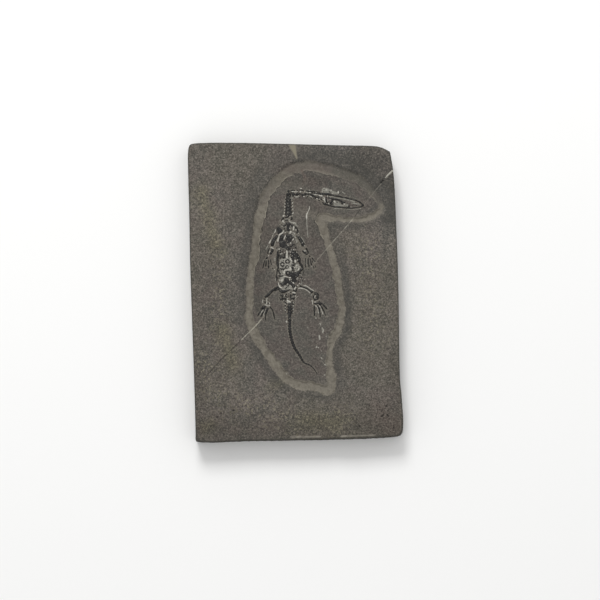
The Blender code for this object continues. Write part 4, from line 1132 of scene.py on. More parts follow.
LEFT_CORACOID = [
    (-12, 47.5), (-10.7, 48.2), (-9.3, 48.1), (-9, 47.1), (-9.5, 45.2), (-10, 43.5), (-9.5, 42.7),
    (-8.5, 42.8), (-7.8, 42.3), (-7.5, 41.1), (-7.3, 39.8), (-6.3, 38.3), (-4.5, 37.1), (-3.1, 35.9),
    (-4.2, 34.9), (-6.7, 35.4), (-8.5, 36.6), (-10.3, 36.7), (-11.4, 37.2), (-12.8, 37.9), (-13.2, 39.8),
    (-13.2, 43.2), (-12.9, 45.6),
]
RIGHT_CORACOID = [
    (-7, 49.1), (-6.1, 48.3), (-4.9, 48), (-3.4, 47.9), (-2, 46.9), (-0.9, 46), (-1.7, 45), (-2.8, 43.8),
    (-3.4, 42.5), (-3.7, 41.5), (-4.7, 41), (-6.1, 40.8), (-7, 41.2), (-7.6, 42.3), (-7.7, 44.8),
    (-7.5, 47.3),
]
bone_piece("collar", [sunk_lines(COLLAR, 0.45), sunk_plate(THROAT, 0.35)], "collar_bones")
bone_piece("shoulder_blade_left", [sunk_plate(SCAPULA_PLATE, 0.55)], "left_scapula")
bone_piece("shoulder_blade_right", [sunk_lines(RIGHT_SCAPULA, 0.45)], "right_scapula")
bone_piece("breast_plate_left", [sunk_plate(LEFT_CORACOID, 0.5)], "left_coracoid")
bone_piece("breast_plate_right", [sunk_plate(RIGHT_CORACOID, 0.5)], "right_coracoid")
infill_piece("shoulder_infill", (1.0, sunk_lines(SHOULDER_CALCITE, 0.25, raised=0.1)),
             (0.3, sunk_lines(SHOULDER_MARL, 0.15)), (0.9, sunk_lines(BREAST_CALCITE, 0.2, raised=0.4)),
             (0.2, sunk_lines(BREAST_MARL, 0.15, raised=0.4)))

# The arms: short curved upper arm bones, a thin pair below each, and fine finger bones.
# They are black bone pressed flat in the bed, with short strips of calcite and marl along them.
LEFT_HUMERUS = [
    [(-14.7, 47.4, 1.9), (-16, 45.6, 2.6), (-17.5, 43.7, 2.8), (-18.3, 42, 2.9), (-18.9, 40.1, 2.9),
     (-19.4, 38.3, 3.2)],
]
LEFT_RADIUS = [
    [(-21.5, 36.6, 1.2), (-22.1, 35.3, 1.1), (-22.7, 33.2, 1.1), (-22.7, 31.7, 1)],
]
LEFT_ULNA = [
    [(-20, 35.5, 1.5), (-18.7, 35, 2.1), (-19.3, 33.7, 2.1), (-20.5, 32, 1.7), (-20.8, 31.2, 1)],
]
LEFT_HAND = [
    [(-23, 29.4, 1.5), (-23.8, 28.2, 1.5), (-24.5, 27.2, 1)],
    [(-25, 26.6, 1), (-26, 24.1, 1), (-26.5, 21.6, 1), (-27.1, 19.6, 0.9)],
    [(-23.8, 26.6, 0.9), (-24.2, 24.1, 1), (-24.5, 21.2, 1.1)],
    [(-22.3, 26.9, 1), (-22, 24.4, 1), (-22.2, 21.6, 1.1), (-22, 19.6, 0.9)],
    [(-20.5, 27.4, 1.1), (-20.2, 24.9, 1), (-19.6, 22.7, 0.7)],
    [(-18.8, 20.4, 0.9), (-18.5, 19.1, 1)],
]
RIGHT_HUMERUS = [
    [(1.2, 47.3, 1.7), (3.1, 45.3, 2.5), (4.4, 43.7, 2.6), (5.6, 41.5, 2.7), (6.4, 39.7, 2.9),
     (6.7, 38.2, 2.7)],
]
RIGHT_RADIUS = [
    [(8.9, 37, 1.5), (9.5, 35.9, 1.5), (10.5, 33.9, 1.3), (11.4, 31.9, 1.2)],
]
RIGHT_ULNA = [
    [(6.2, 34.9, 2), (7.2, 33.5, 2.1), (8.7, 32.4, 1.8), (10.5, 31.3, 1.6)],
]
RIGHT_HAND = [
    [(11.2, 30.5, 0.8), (12.7, 29.5, 1.2)],
    [(8.5, 28.6, 0.7), (8.5, 25.7, 0.8), (8.5, 22.4, 0.8), (8.7, 20.3, 0.7)],
    [(10, 27.7, 0.5), (9.9, 25.4, 0.6), (10, 22.9, 0.5)],
    [(11, 28.7, 0.7), (11.1, 25.7, 0.8), (11.2, 23.2, 1), (11.5, 20.6, 0.9)],
    [(12.4, 28.2, 0.7), (12.8, 25.7, 0.8), (13.4, 23.6, 1.1), (14.2, 22.1, 0.8)],
    [(13.6, 28.9, 0.9), (14.9, 27.4, 1.2), (16, 25.9, 1.3), (16.8, 25.1, 0.8)],
    [(13.7, 26.4, 0.6), (14.5, 25.1, 0.7), (15, 23.9, 0.6)],
    [(14.9, 21.7, 0.8), (15.4, 20.6, 1), (15.7, 19.4, 0.7)],
    [(16.4, 23.1, 0.7), (16.8, 21.6, 0.7), (17.3, 20.3, 0.6)],
    [(10.9, 19.4, 0.7), (11.7, 18.3, 0.7)],
]
LEFT_ARM_CALCITE = [
    [(-16.5, 52.3, 1), (-16.5, 50.5, 1), (-17.6, 49.3, 0.8)],
    [(-18.7, 47.6, 0.9), (-18.6, 46.3, 0.9)],
    [(-19.8, 44, 0.9), (-20.8, 42.2, 1.3), (-22, 40.2, 0.9)],
    [(-20.7, 37.4, 0.9), (-19.3, 36.9, 1.1), (-17.8, 36.1, 1)],
    [(-20.8, 34.5, 0.9), (-21.5, 32.5, 0.9)],
    [(-22.4, 30.5, 1.2), (-21.6, 30.3, 1.2)],
]
LEFT_ARM_MARL = [
    [(-16.1, 42.7, 0.9), (-16.8, 40.5, 1.1), (-17, 38.2, 1.1)],
    [(-22.3, 39.3, 0.8), (-24.5, 35.4, 0.8)],
    [(-17.8, 49.1, 0.7), (-18.5, 47.8, 0.7)],
    [(-24.3, 26.7, 0.6), (-23.3, 27.2, 0.6)],
    [(-18.8, 46.1, 0.7), (-19.7, 44.2, 0.7)],
]
RIGHT_ARM_CALCITE = [
    [(3.4, 45.4, 1.1), (3.8, 44.3, 1.3)],
    [(5.6, 41.3, 1.6), (6.1, 40.6, 1.6)],
    [(8.6, 34.7, 1.2), (9.1, 33.9, 1.2)],
    [(2.1, 47.1, 0.8), (2.6, 46.5, 0.8)],
    [(5, 43.2, 0.8), (5.4, 42.7, 0.8)],
    [(7.6, 39, 0.9), (7.9, 38, 0.8)],
    [(7.1, 35.2, 0.8), (8.2, 33.7, 0.9)],
]
RIGHT_ARM_MARL = [
    [(15.2, 25.9, 0.6), (16.5, 24.1, 0.8)],
    [(14.2, 22.1, 0.8), (13.2, 20.8, 0.7)],
    [(4.7, 46, 0.7), (6.9, 43, 0.8), (7.7, 40.7, 0.7)],
    [(9.3, 27.6, 0.4), (9.2, 22.7, 0.4)],
    [(12, 26.6, 0.4), (12.2, 23.6, 0.4)],
]
for side, bones in (("left", (LEFT_HUMERUS, LEFT_RADIUS, LEFT_ULNA, LEFT_HAND)),
                    ("right", (RIGHT_HUMERUS, RIGHT_RADIUS, RIGHT_ULNA, RIGHT_HAND))):
    for part, lines in zip(("humerus", "radius", "ulna", "hand"), bones):
        bone_piece(f"{part}_bone_{side}", [sunk_lines(lines, 0.3)], f"{side}_{part}")
infill_piece("arm_infill", (0.8, sunk_lines(LEFT_ARM_CALCITE, 0.2)), (0.2, sunk_lines(LEFT_ARM_MARL, 0.15)),
             (0.9, sunk_lines(RIGHT_ARM_CALCITE, 0.2, raised=0.5)),
             (0.2, sunk_lines(RIGHT_ARM_MARL, 0.15)))

# The trunk: crushed ribs and belly ribs in a pale mass of marl and calcite. Small round sections of
# bone stand in it as dark rings with calcite inside, given as (x, y, radius, width).
LEFT_RIBS = [
    [(-14.5, 35.2, 1.4), (-14.5, 32.4, 1.8), (-14.6, 29, 1.9), (-14.7, 25.7, 2.1), (-14.5, 22.7, 2.2),
     (-14.1, 20.8, 1.6), (-14, 19.4, 1)],
    [(-14.7, 19.9, 1), (-14.9, 18.3, 1.1), (-15.3, 15.8, 0.9), (-15.8, 13.6, 1), (-15.1, 12.1, 1.5),
     (-15.2, 10.5, 1.1), (-15.3, 9, 0.9)],
    [(-14, 18.8, 0.9), (-13.6, 17.4, 1.1), (-12.9, 16.1, 1.2), (-12.1, 14.9, 1.3)],
]
RIGHT_RIBS = [
    [(1.2, 32.7, 1.6), (2.3, 30.9, 1.6), (3.3, 28.7, 1.7), (3.8, 26.6, 1.8), (3.8, 24.6, 1.6),
     (4.9, 22.9, 1.8), (5.6, 21.6, 2), (6.4, 20.1, 1.4)],
    [(7, 19.9, 1.3), (5.3, 18.9, 1.8), (4.1, 17.6, 1.8), (3.1, 15.9, 2.1), (2.1, 14.1, 2.3),
     (1.1, 12.3, 2.1)],
    [(0.3, 34.4, 1), (0.9, 32.7, 1)],
]
BELLY = [
    [(-10.9, 33.5, 0.9), (-9.9, 33.8, 0.9)],
    [(-12, 34.7, 1.2), (-12.4, 33.4, 1.3), (-13, 32, 0.9)],
    [(-8.8, 32.9, 1), (-8.9, 31.4, 1.2), (-8.7, 30, 1.2)],
    [(-13.7, 31.5, 0.9), (-12.7, 30.2, 1.2), (-11, 29.7, 1.4), (-9.5, 29.4, 1.3), (-8.5, 28.7, 1.1)],
    [(-13, 28, 0.9), (-12.2, 28.7, 0.9)],
    [(-5.6, 29.6, 1.1), (-5.2, 29.5, 1.1)],
    [(-3.6, 30.2, 0.9), (-3.4, 28.9, 1), (-3.5, 27.7, 0.8)],
    [(-5, 32.9, 0.8), (-5.3, 31.2, 0.8)],
    [(-3.7, 24.9, 1.2), (-3.4, 24.4, 1.1)],
    [(-4.4, 22.9, 1), (-2.7, 22.7, 1.2), (-0.9, 22.5, 1.4), (-1.2, 21.6, 1.2)],
    [(-2.2, 21.9, 1.3), (-2.3, 20.4, 1.7), (-1.8, 18.9, 1.4), (-1.7, 17.8, 1.2)],
    [(-12.7, 22.7, 1.2), (-11.9, 22.9, 1.2)],
    [(-10.5, 26.2, 0.9), (-9.2, 26.2, 0.9)],
    [(-12.1, 18.4, 1.2), (-10.7, 19.3, 1.1), (-9.2, 19.3, 1), (-8.1, 20.3, 1.1), (-8, 21.2, 1)],
    [(-13.5, 13.7, 1.1), (-11.9, 13.3, 1.2), (-9.9, 13.9, 1)],
    [(-8.1, 17.2, 1.2), (-7.4, 16.6, 1.1)],
    [(-5.5, 13, 1), (-2.7, 13.1, 1)],
    [(0.6, 20.3, 0.8), (0.6, 19.4, 0.8)],
    [(2, 19.7, 0.9)],
    [(-11, 5.7, 1.3), (-10.7, 5, 1.3)],
    [(-12.7, 7.1, 0.9), (-12, 7.6, 0.9)],
    [(-7.1, 4.7, 1.3), (-7.6, 3.2, 1.3)],
    [(2.6, 9.3, 1.1), (2.9, 8.6, 1.1), (2.2, 8, 0.7)],
    [(5.4, 12.6, 0.9), (5.6, 11.5, 1)],
    [(5.2, 9.9, 1.1), (6.1, 9.7, 1.3)],
    [(4.6, 7.3, 0.9)],
    [(4.6, 15.6, 0.9)],
    [(6.4, 7, 0.8)],
    [(-3.6, 0.3, 1.1), (-3.4, -0.5, 1.1)],
    [(-2.2, 41.3, 1), (-1.8, 39.8, 1.2), (-2.5, 38.3, 1.2), (-3.7, 38.1, 1.3), (-4.6, 38.4, 1.2)],
    [(-0.7, 40.3, 0.9), (0.1, 38.7, 1), (0.6, 37, 1.2), (0.7, 35.4, 1)],
    [(-3.6, 35.9, 1.3), (-1.9, 34.7, 1.3), (-0.7, 33.9, 1.2)],
    [(-15.4, 41.3, 1)],
    [(-15.3, 37.8, 0.8), (-15.2, 36.2, 0.8)],
]
BELLY_PLATES = [
    [(-3.2, 35.2), (-1.9, 34.4), (0.1, 33.5), (1.6, 31.7), (3.1, 29.4), (3.4, 26.9), (2.7, 24.4),
     (2.1, 25.2), (1.7, 27.2), (0.6, 28.4), (-0.6, 28.1), (-1.2, 26.2), (-1.7, 24.7), (-2.5, 26.6),
     (-3, 28.6), (-3.3, 31.2), (-3.9, 33.7)],
    [(-5.6, 14.2), (-4.4, 15.3), (-4.2, 17.1), (-2.7, 17.5), (-1.6, 17.1), (-0.2, 16.3), (1.1, 17.1),
     (2.7, 17.1), (3.4, 16.4), (2.9, 14.6), (1.7, 12.8), (0.8, 11.3), (1, 10.1), (1.7, 9.6), (0.6, 8.1),
     (-0.7, 8.1), (-2.1, 8.5), (-3.6, 8.6), (-4.1, 9.6), (-3.1, 11.1), (-2.7, 12.3), (-4.1, 13.6)],
    [(-9.3, 11.6), (-8.5, 12.3), (-7.6, 12.1), (-6.9, 11.1), (-6.2, 11.5), (-5.4, 10.1), (-4.6, 8.9),
     (-3.4, 8.7), (-2.2, 7.6), (-1.2, 6.6), (-0.2, 6.1), (0.2, 4.8), (-0.7, 3.2), (-1.7, 3), (-2.9, 5.1),
     (-4.1, 6.1), (-5.3, 6.5), (-6.4, 7.3), (-7.8, 6.4), (-9.4, 5.6), (-10.5, 5.1), (-11.5, 5.8),
     (-12.2, 7.1), (-10.9, 8.3), (-9.5, 9.3)],
]
RINGS = [(-6.4, 25.5, 1.5, 1.2), (-10.6, 23.2, 1.5, 1.1), (-6.6, 21, 1.2, 0.9), (-6, 15.9, 1.5, 1.1)]
RING_CORNERS = np.linspace(0, 2 * math.pi, 9)
MARL_BEDS = [
    [(-8.5, 28.6), (-5.7, 28.9), (-2.9, 27.2), (-2.1, 25.2), (-2.6, 23.2), (-2.7, 19.1), (-3.7, 17.3),
     (-7.4, 17.1), (-8.2, 14.4), (-10.4, 13.6), (-12, 14.4), (-11.5, 17.1), (-13, 19.9), (-13.5, 23.6),
     (-13.2, 26.2), (-11.2, 28.1)],
    [(-13.3, 12.6), (-9.5, 13.1), (-6.6, 13.4), (-5.4, 12.4), (-6.6, 11.5), (-9, 11.6), (-9.5, 9),
     (-12, 7.6), (-13.5, 9.6)],
    [(-13.7, 7.5), (-12.4, 6.1), (-11, 4.1), (-9.4, 5), (-7.4, 6.3), (-5.6, 6.8), (-3.7, 5.6), (-2.6, 4),
     (-1.9, 2.2), (-3.7, 2), (-5.4, 2.3), (-7.1, 1.7), (-9.5, 1.7), (-11.5, 2.5), (-13.2, 4.5)],
    [(-0.4, 23.4), (1.7, 23.9), (3.7, 22.6), (3.9, 18.8), (2.7, 17.3), (0.4, 17.4), (-0.4, 20.4)],
]
TRUNK_CALCITE = [
    [(-7.1, 34.7, 1.8), (-6.8, 32.4, 1.7), (-6.9, 29.9, 1.6), (-6.9, 27.7, 1.9)],
    [(-10.2, 27.9, 1.2), (-9.9, 27.4, 1.4)],
    [(-8.5, 27.4, 1), (-7.9, 27.1, 0.9)],
    [(-3.7, 33.8, 1.2), (-3.5, 33, 1.1)],
    [(-4.6, 29.7, 0.7), (-4.3, 28.7, 0.8), (-3.6, 26.9, 0.9), (-2.9, 25.9, 1.2), (-2.6, 25.2, 1)],
    [(-0.1, 26.9, 1.3), (0.2, 25.4, 1.8), (0.2, 24.2, 1.2)],
    [(1.3, 33.7, 0.9), (1.4, 32.7, 1.1)],
    [(-6.9, 25.5, 1.2), (-6.1, 25.5, 1.2)],
    [(-11, 23.6, 0.9), (-10.4, 22.6, 1.1)],
    [(-6.7, 21.1, 1.1), (-6.1, 21.2, 1)],
    [(-9.5, 25.2, 0.9), (-8.7, 24.4, 1)],
    [(-7.2, 23.4, 0.9), (-5.6, 23.3, 1.1)],
    [(-4.1, 21.7, 1.3), (-4.1, 20.3, 1.5), (-3.7, 18.9, 1.8), (-2.9, 18.4, 1.3)],
    [(-3.6, 18.3, 1.4), (-5.7, 18.4, 1.3), (-7.7, 18.3, 1.3), (-9, 17.6, 1.2), (-9.1, 16.3, 1.4),
     (-8.8, 14.9, 1.7)],
    [(-10, 20.9, 1.2), (-9.4, 20.6, 1)],
    [(2.6, 22.2, 1.2), (3.1, 21.4, 1.3)],
    [(3.2, 19.9, 0.9), (2.8, 18.6, 1.1), (1.7, 18.1, 0.9)],
    [(0.9, 22.7, 1.2), (1.4, 21.7, 1.2)],
    [(-0.8, 20.8, 1), (-0.5, 19.6, 1)],
    [(0.4, 17.9, 1), (0.4, 16.8, 1)],
    [(-6.3, 16.1, 1.4), (-5.7, 15.7, 1.4)],
    [(-10.4, 10.6, 1.4), (-11, 9.5, 1.6), (-11.7, 8.6, 1)],
    [(-9.9, 12.8, 1), (-7.9, 12.9, 1.1), (-6.6, 12.4, 1.2)],
    [(-5.4, 12, 1.1), (-3.3, 12, 1.2)],
    [(-4.4, 11.1, 1.2), (-4.5, 9.6, 1)],
    [(-2.2, 8.3, 0.9), (-1.5, 7.6, 1.1), (-0.7, 6.9, 0.8)],
    [(-13.9, 8.1, 0.9), (-13.6, 6, 1), (-12.7, 4.3, 1.3), (-11.5, 3.6, 1.2), (-10.5, 3.4, 1.1)],
    [(-5.9, 6.7, 1), (-6.6, 6.1, 1.2)],
    [(-4.4, 5.6, 1), (-3.7, 5.3, 1)],
    [(0.6, 4.6, 1), (-0.2, 3, 1.2), (-1.2, 2.1, 1.3)],
    [(2.2, 6, 1.1), (2.2, 5, 1.2)],
    [(1.5, 11.4, 1.2), (1.9, 10.5, 1.3)],
    [(3.7, 15.1, 0.8), (4, 14.1, 1)],
    [(-17, 18.8, 1.2)],
    [(3.4, 7.6, 0.7), (3.9, 6.6, 0.7)],
    [(-8.5, 2, 1)],
    [(-4.2, 3.2, 1.1)],
    [(-5.4, -0.2, 1.2), (-4.7, 0.3, 0.9)],
]
TRUNK_MARL = [
    [(-12.9, 31.4, 1), (-11.5, 31.9, 1.3), (-10.2, 32.5, 1.2)],
    [(-12.4, 26.7, 1.6), (-12.1, 25.4, 1.6), (-12.7, 24.1, 1)],
    [(-3.9, 31.9, 1), (-3.6, 30.7, 1)],
    [(-2.2, 23.9, 1.2), (-1.7, 23.2, 1)],
    [(-5.1, 33.7, 0.8)],
    [(-11.7, 20.4, 1.2), (-10.9, 20.8, 1.1)],
    [(-11.3, 17.6, 1), (-11, 16.8, 1)],
    [(-13.8, 15.4, 0.9), (-13.6, 14.6, 0.9)],
    [(-12.5, 12.1, 1.3), (-12.4, 10.5, 1.3)],
    [(-8.7, 7, 0.7), (-9.5, 7, 0.9)],
    [(-2.2, 16.3, 1), (-2.1, 15.3, 0.9)],
    [(-5.4, 4.5, 1.6), (-5.6, 3.3, 1.3)],
    [(-9.9, 3.5, 1.3), (-9, 4, 1)],
    [(-0.4, 29.4, 0.9), (-0.3, 28.4, 0.9)],
    [(0.6, 21.4, 1), (1.6, 19.9, 1)],
    [(5, 8.5, 1.1), (5.9, 8, 0.9)],
    [(7.9, 10.3, 1.3)],
    [(9.2, 4.8, 1.2), (7.2, 5.3, 0.8)],
    [(5.2, 14.6, 0.9), (5, 13.4, 0.9)],
    [(-16.4, 11.5, 0.9), (-16.2, 8.8, 0.9)],
    [(-16.4, 16.4, 0.8)],
    [(-16.8, 28.7, 1.2), (-16.8, 25.7, 1.2)],
    [(-2.4, -0.2, 0.9), (-0.7, -0.5, 0.8)],
    [(-7.2, 12.9, 1)],
    [(-3.7, 7.6, 0.8)],
]
BREAST = [(-12.8, 48.0), (-8.0, 49.5), (0.0, 47.5), (3.0, 42.0), (2.0, 36.0), (-8.0, 36.0), (-13.0, 38.0)]
BELLY_AREA = [(-13.2, 35.7), (1.0, 36.5), (3.4, 29.0), (6.6, 20.7), (7.4, 9.0), (3.0, 6.0), (0.9, 3.0),
              (-1.6, 1.7), (-9.9, 0.8), (-13.0, 3.3), (-14.0, 10.8), (-13.6, 23.2)]
ring_lines = [[(x + radius * math.cos(a), y + radius * math.sin(a), width) for a in RING_CORNERS]
              for x, y, radius, width in RINGS]
bone_piece("ribs_left", [sunk_lines(LEFT_RIBS, 0.3)], "left_ribs")
bone_piece("ribs_right", [sunk_lines(RIGHT_RIBS, 0.3)], "right_ribs")
bone_piece("ribs_of_the_belly", [sunk_lines(BELLY, 0.4), sunk_lines(ring_lines, 0.45),
                                 sunk_lines(splinters(BELLY_AREA, 110, 1.9, seed=73), 0.4, raised=0.1)]
           + [sunk_plate(plate, 0.45, edge=1.0) for plate in BELLY_PLATES], "belly_ribs")
infill_piece("trunk_marl", *[(0.3, sunk_plate(bed, 0.12, edge=1.2)) for bed in MARL_BEDS])
infill_piece("trunk_infill", (1.0, sunk_lines(TRUNK_CALCITE, 0.25, raised=0.2)),
             (0.3, sunk_lines(TRUNK_MARL, 0.2, raised=0.2)),
             (0.7, sunk_lines(splinters(BELLY_AREA, 90, 1.5, seed=74), 0.2, raised=0.35)),
             (0.4, sunk_lines(splinters(BREAST, 14, 1.2, seed=75), 0.2, raised=0.4)))

# The hips: a low arc of black bone across the base of the tail, a long length on the left and a
# short one on the right. It is pressed flat in the bed like the ribs, its left end a little broader.
PELVIS = [
    [(-13.5, 3.3, 1.9), (-12.2, 1.3, 2.6), (-10.5, 0.5, 2.6), (-8.5, 0.7, 2.1), (-6.6, 1.3, 1.5),
     (-4.8, 2.2, 1.3)],
    [(-2.1, 1.3, 0.9), (-0.7, 1.3, 1), (0.4, 0.8, 1.3), (1.2, 2.3, 1), (1.3, 3.5, 0.9)],
]
bone_piece("pelvis_bones", [sunk_lines(PELVIS, 0.3)], "pelvis")

# The legs: thigh bones, a pair of shin bones, ankles and long toes, spread out on both sides.
# They are black bone half sunk in the bed, with thin lines of pale calcite and marl beside them.
LEFT_FEMUR = [
    [(-13.4, 4.8, 1.4), (-16, 3.5, 1.8), (-18.4, 1.7, 1.8), (-20.2, 0.1, 2.1), (-21.9, -1.8, 2.3),
     (-24, -3.5, 2.1), (-25.5, -4.1, 1.2)],
    [(-12.9, 3.3, 1.2), (-15, 2.3, 1.3), (-17.4, 0.9, 1)],
    [(-16.5, -0.5, 0.7), (-17.5, -0.7, 0.7)],
]
LEFT_TIBIA = [
    [(-26.1, -6, 1.3), (-25.1, -5.6, 1.4)],
    [(-25.1, -7.8, 1.3), (-24.7, -9, 1.6)],
]
LEFT_FIBULA = [
    [(-22.5, -6.1, 1.1), (-22.3, -7.1, 1.1)],
    [(-22.7, -8.6, 1.2), (-22.2, -9.9, 1.7)],
]
LEFT_FOOT = [
    [(-26.5, -11.2, 1.7), (-26.1, -12.9, 3.4), (-26, -14.6, 1.7)],
    [(-25.1, -11.6, 1.4), (-24.3, -12.4, 1.4)],
    [(-27.6, -12.8, 1.2), (-28.8, -14.4, 1.1)],
    [(-28.5, -15.9, 1.3), (-29.7, -18.1, 1.3), (-30.5, -19.1, 0.8)],
    [(-26.7, -16.6, 1.2), (-27.5, -18.5, 1.3), (-27.8, -20.3, 1.5)],
    [(-22.9, -12.8, 1.2), (-24, -15, 1.2), (-24.3, -16.8, 1.5), (-25, -18.6, 1.3)],
    [(-24.8, -19.9, 0.7), (-24.7, -22.2, 0.7), (-24, -24.4, 0.6)],
    [(-21, -12.3, 1.1), (-20.7, -13.6, 1.1)],
    [(-19.7, -14.6, 1.4), (-18.8, -14.8, 1.5), (-18.4, -16.4, 0.9), (-17.9, -18.5, 1.1),
     (-17.4, -20.6, 0.9), (-16.6, -23.4, 0.7)],
    [(-24.3, -11.8, 1), (-27, -14.3, 1.1), (-29.5, -16.9, 1.1), (-31.3, -20.3, 0.8)],
    [(-21.8, -12.9, 1), (-23.5, -16.3, 1.1), (-24.5, -19.4, 1), (-24.4, -23.1, 0.7)],
    [(-21, -12, 1), (-19.2, -14.3, 1), (-17.7, -17.9, 0.9), (-16.9, -22.7, 0.7)],
    [(-25, -14.6, 0.9), (-26.8, -17.6, 1), (-28.8, -20.9, 0.8)],
]
LEFT_LEG_FILL = [
    [(-23.2, -4.6, 0.8), (-23.7, -6.4, 0.9), (-23.5, -8.1, 0.9), (-23.7, -10.4, 0.9)],
    [(-25.4, -10.2, 0.7), (-23.7, -11.2, 0.8), (-21.7, -11.5, 0.8), (-20.8, -10.5, 0.8)],
    [(-27.1, -7.5, 0.9), (-27.1, -9, 0.8)],
    [(-25.6, -13.4, 0.7), (-27.6, -16.1, 0.7), (-29.5, -19.3, 0.6)],
    [(-23.8, -13.8, 0.7), (-25.5, -16.9, 0.7), (-26.6, -19.6, 0.6)],
    [(-26.8, -6.1, 0.7), (-27.3, -8.8, 0.7)],
    [(-21.6, -8.5, 0.8), (-21, -10.1, 0.8)],
]
RIGHT_FEMUR = [
    [(3.6, 5.2, 1.7), (6.1, 4.3, 1.2), (8.5, 3.6, 1.3), (11, 2.2, 1.2), (13, 0.9, 1.6), (14.1, 0.2, 2.2),
     (14.9, -0.2, 1.6)],
]
RIGHT_TIBIA = [
    [(15.1, -2.7, 1.1), (15.4, -5.3, 1.3)],
]
RIGHT_FIBULA = [
    [(15.8, -2.5, 1.2), (17, -1.6, 1.4), (18.3, -2.2, 1.5), (18.8, -3.8, 1.4), (18.3, -5.3, 1.6)],
    [(17.3, -3, 0.9), (17.4, -4.6, 1.1)],
    [(15.5, -0.8, 1.2), (17.7, -0.5, 1.3), (19.2, -2.2, 1.2), (19.3, -4.5, 1.2), (17.8, -6.1, 1.2),
     (15.9, -5.8, 1.2), (14.9, -3.5, 1.2)],
]
RIGHT_FOOT = [
    [(15.9, -7.1, 1.7), (16.5, -7, 1.6)],
    [(19.6, -7.4, 1.6), (20.3, -8, 1.5)],
    [(15.3, -9.5, 1.2), (17.5, -9.4, 1.3), (19.6, -9.1, 1.5), (20.8, -9.5, 2.3), (21.8, -10.5, 1.8)],
    [(15.8, -11.2, 1.3), (15.9, -13.3, 1.4), (15.9, -14.8, 1.5), (16.1, -16.8, 1.1), (16, -18.8, 1.3),
     (16.1, -19.9, 1.4)],
    [(19.2, -12.2, 1.3), (19.9, -13.6, 1.5), (20.4, -15.4, 1.4)],
    [(20.6, -17.1, 1.2), (20.7, -18.4, 1.3), (20.7, -20.8, 0.8)],
    [(22.7, -12.8, 1.5), (23.1, -13.4, 1.5)],
    [(24.2, -15.5, 1.6), (24.4, -16, 1.5)],
    [(25, -17.9, 0.8), (25.6, -19.8, 0.8)],
    [(23, -10.6, 1.1), (24.8, -12.5, 1.1), (26.6, -14.4, 0.9)],
    [(24.4, -9.5, 0.8)],
    [(18, -10.1, 1), (19.7, -13.8, 1.1), (20.5, -17.3, 1), (20.7, -21.1, 0.7)],
    [(19.7, -9.8, 1.1), (21.8, -12.3, 1.1), (23.5, -15.3, 1), (25.1, -19.1, 0.8)],
    [(21, -8.6, 1), (23.8, -10.8, 1), (26.5, -13.9, 0.8)],
    [(15.5, -6.3, 1.3), (17.8, -6, 1.3)],
]
RIGHT_LEG_FILL = [
    [(6.7, 5.6, 0.8), (9.2, 5.1, 0.9), (11.3, 3.7, 0.9), (13.7, 2, 0.9), (15.7, 1.2, 0.9)],
    [(2.4, 3, 0.9), (3.9, 3.3, 1), (5.7, 3.1, 1.1), (8.2, 2.4, 1), (10.6, 0.9, 0.9), (12.4, -0.8, 0.8)],
    [(13.4, -2, 1.2), (13.6, -2.8, 1.3)],
    [(16.2, -3.3, 0.7), (16.4, -5.3, 0.7)],
    [(17.8, -7.2, 1.2), (18.5, -7.1, 1)],
    [(15.7, -8.5, 0.7), (17.5, -8.1, 0.8)],
    [(14.4, -7.3, 0.8), (14.4, -10.5, 0.8)],
    [(16.8, -11, 1), (17.9, -12.6, 1.1)],
    [(18.8, -10.4, 0.9)],
    [(19.8, -11.1, 1.1), (21.2, -13, 1.3)],
    [(17.2, -16.7, 1.2)],
    [(19.3, -16.8, 1.1), (19.6, -17.4, 1.1)],
    [(16.8, -21.3, 1), (17.8, -21.9, 1)],
    [(4.2, 6.7, 0.9), (6.2, 6.9, 0.7)],
    [(16.5, -2.5, 1.1), (17.2, -4.1, 1.1)],
    [(18.2, -12, 0.7), (19, -14.9, 0.7), (19.1, -17.9, 0.7)],
    [(21.2, -13.6, 0.7), (22.3, -16.3, 0.7), (23.2, -18.9, 0.6)],
    [(13.9, -6.5, 0.9), (14.4, -8.8, 0.9)],
]
for side, bones in (("left", (LEFT_FEMUR, LEFT_TIBIA, LEFT_FIBULA, LEFT_FOOT)),
                    ("right", (RIGHT_FEMUR, RIGHT_TIBIA, RIGHT_FIBULA, RIGHT_FOOT))):
    for part, lines in zip(("femur", "tibia", "fibula", "foot"), bones):
        bone_piece(f"{part}_bone_{side}", [sunk_lines(lines, 0.35)], f"{side}_{part}")
infill_piece("leg_infill", (0.75, sunk_lines(LEFT_LEG_FILL + RIGHT_LEG_FILL, 0.2)))

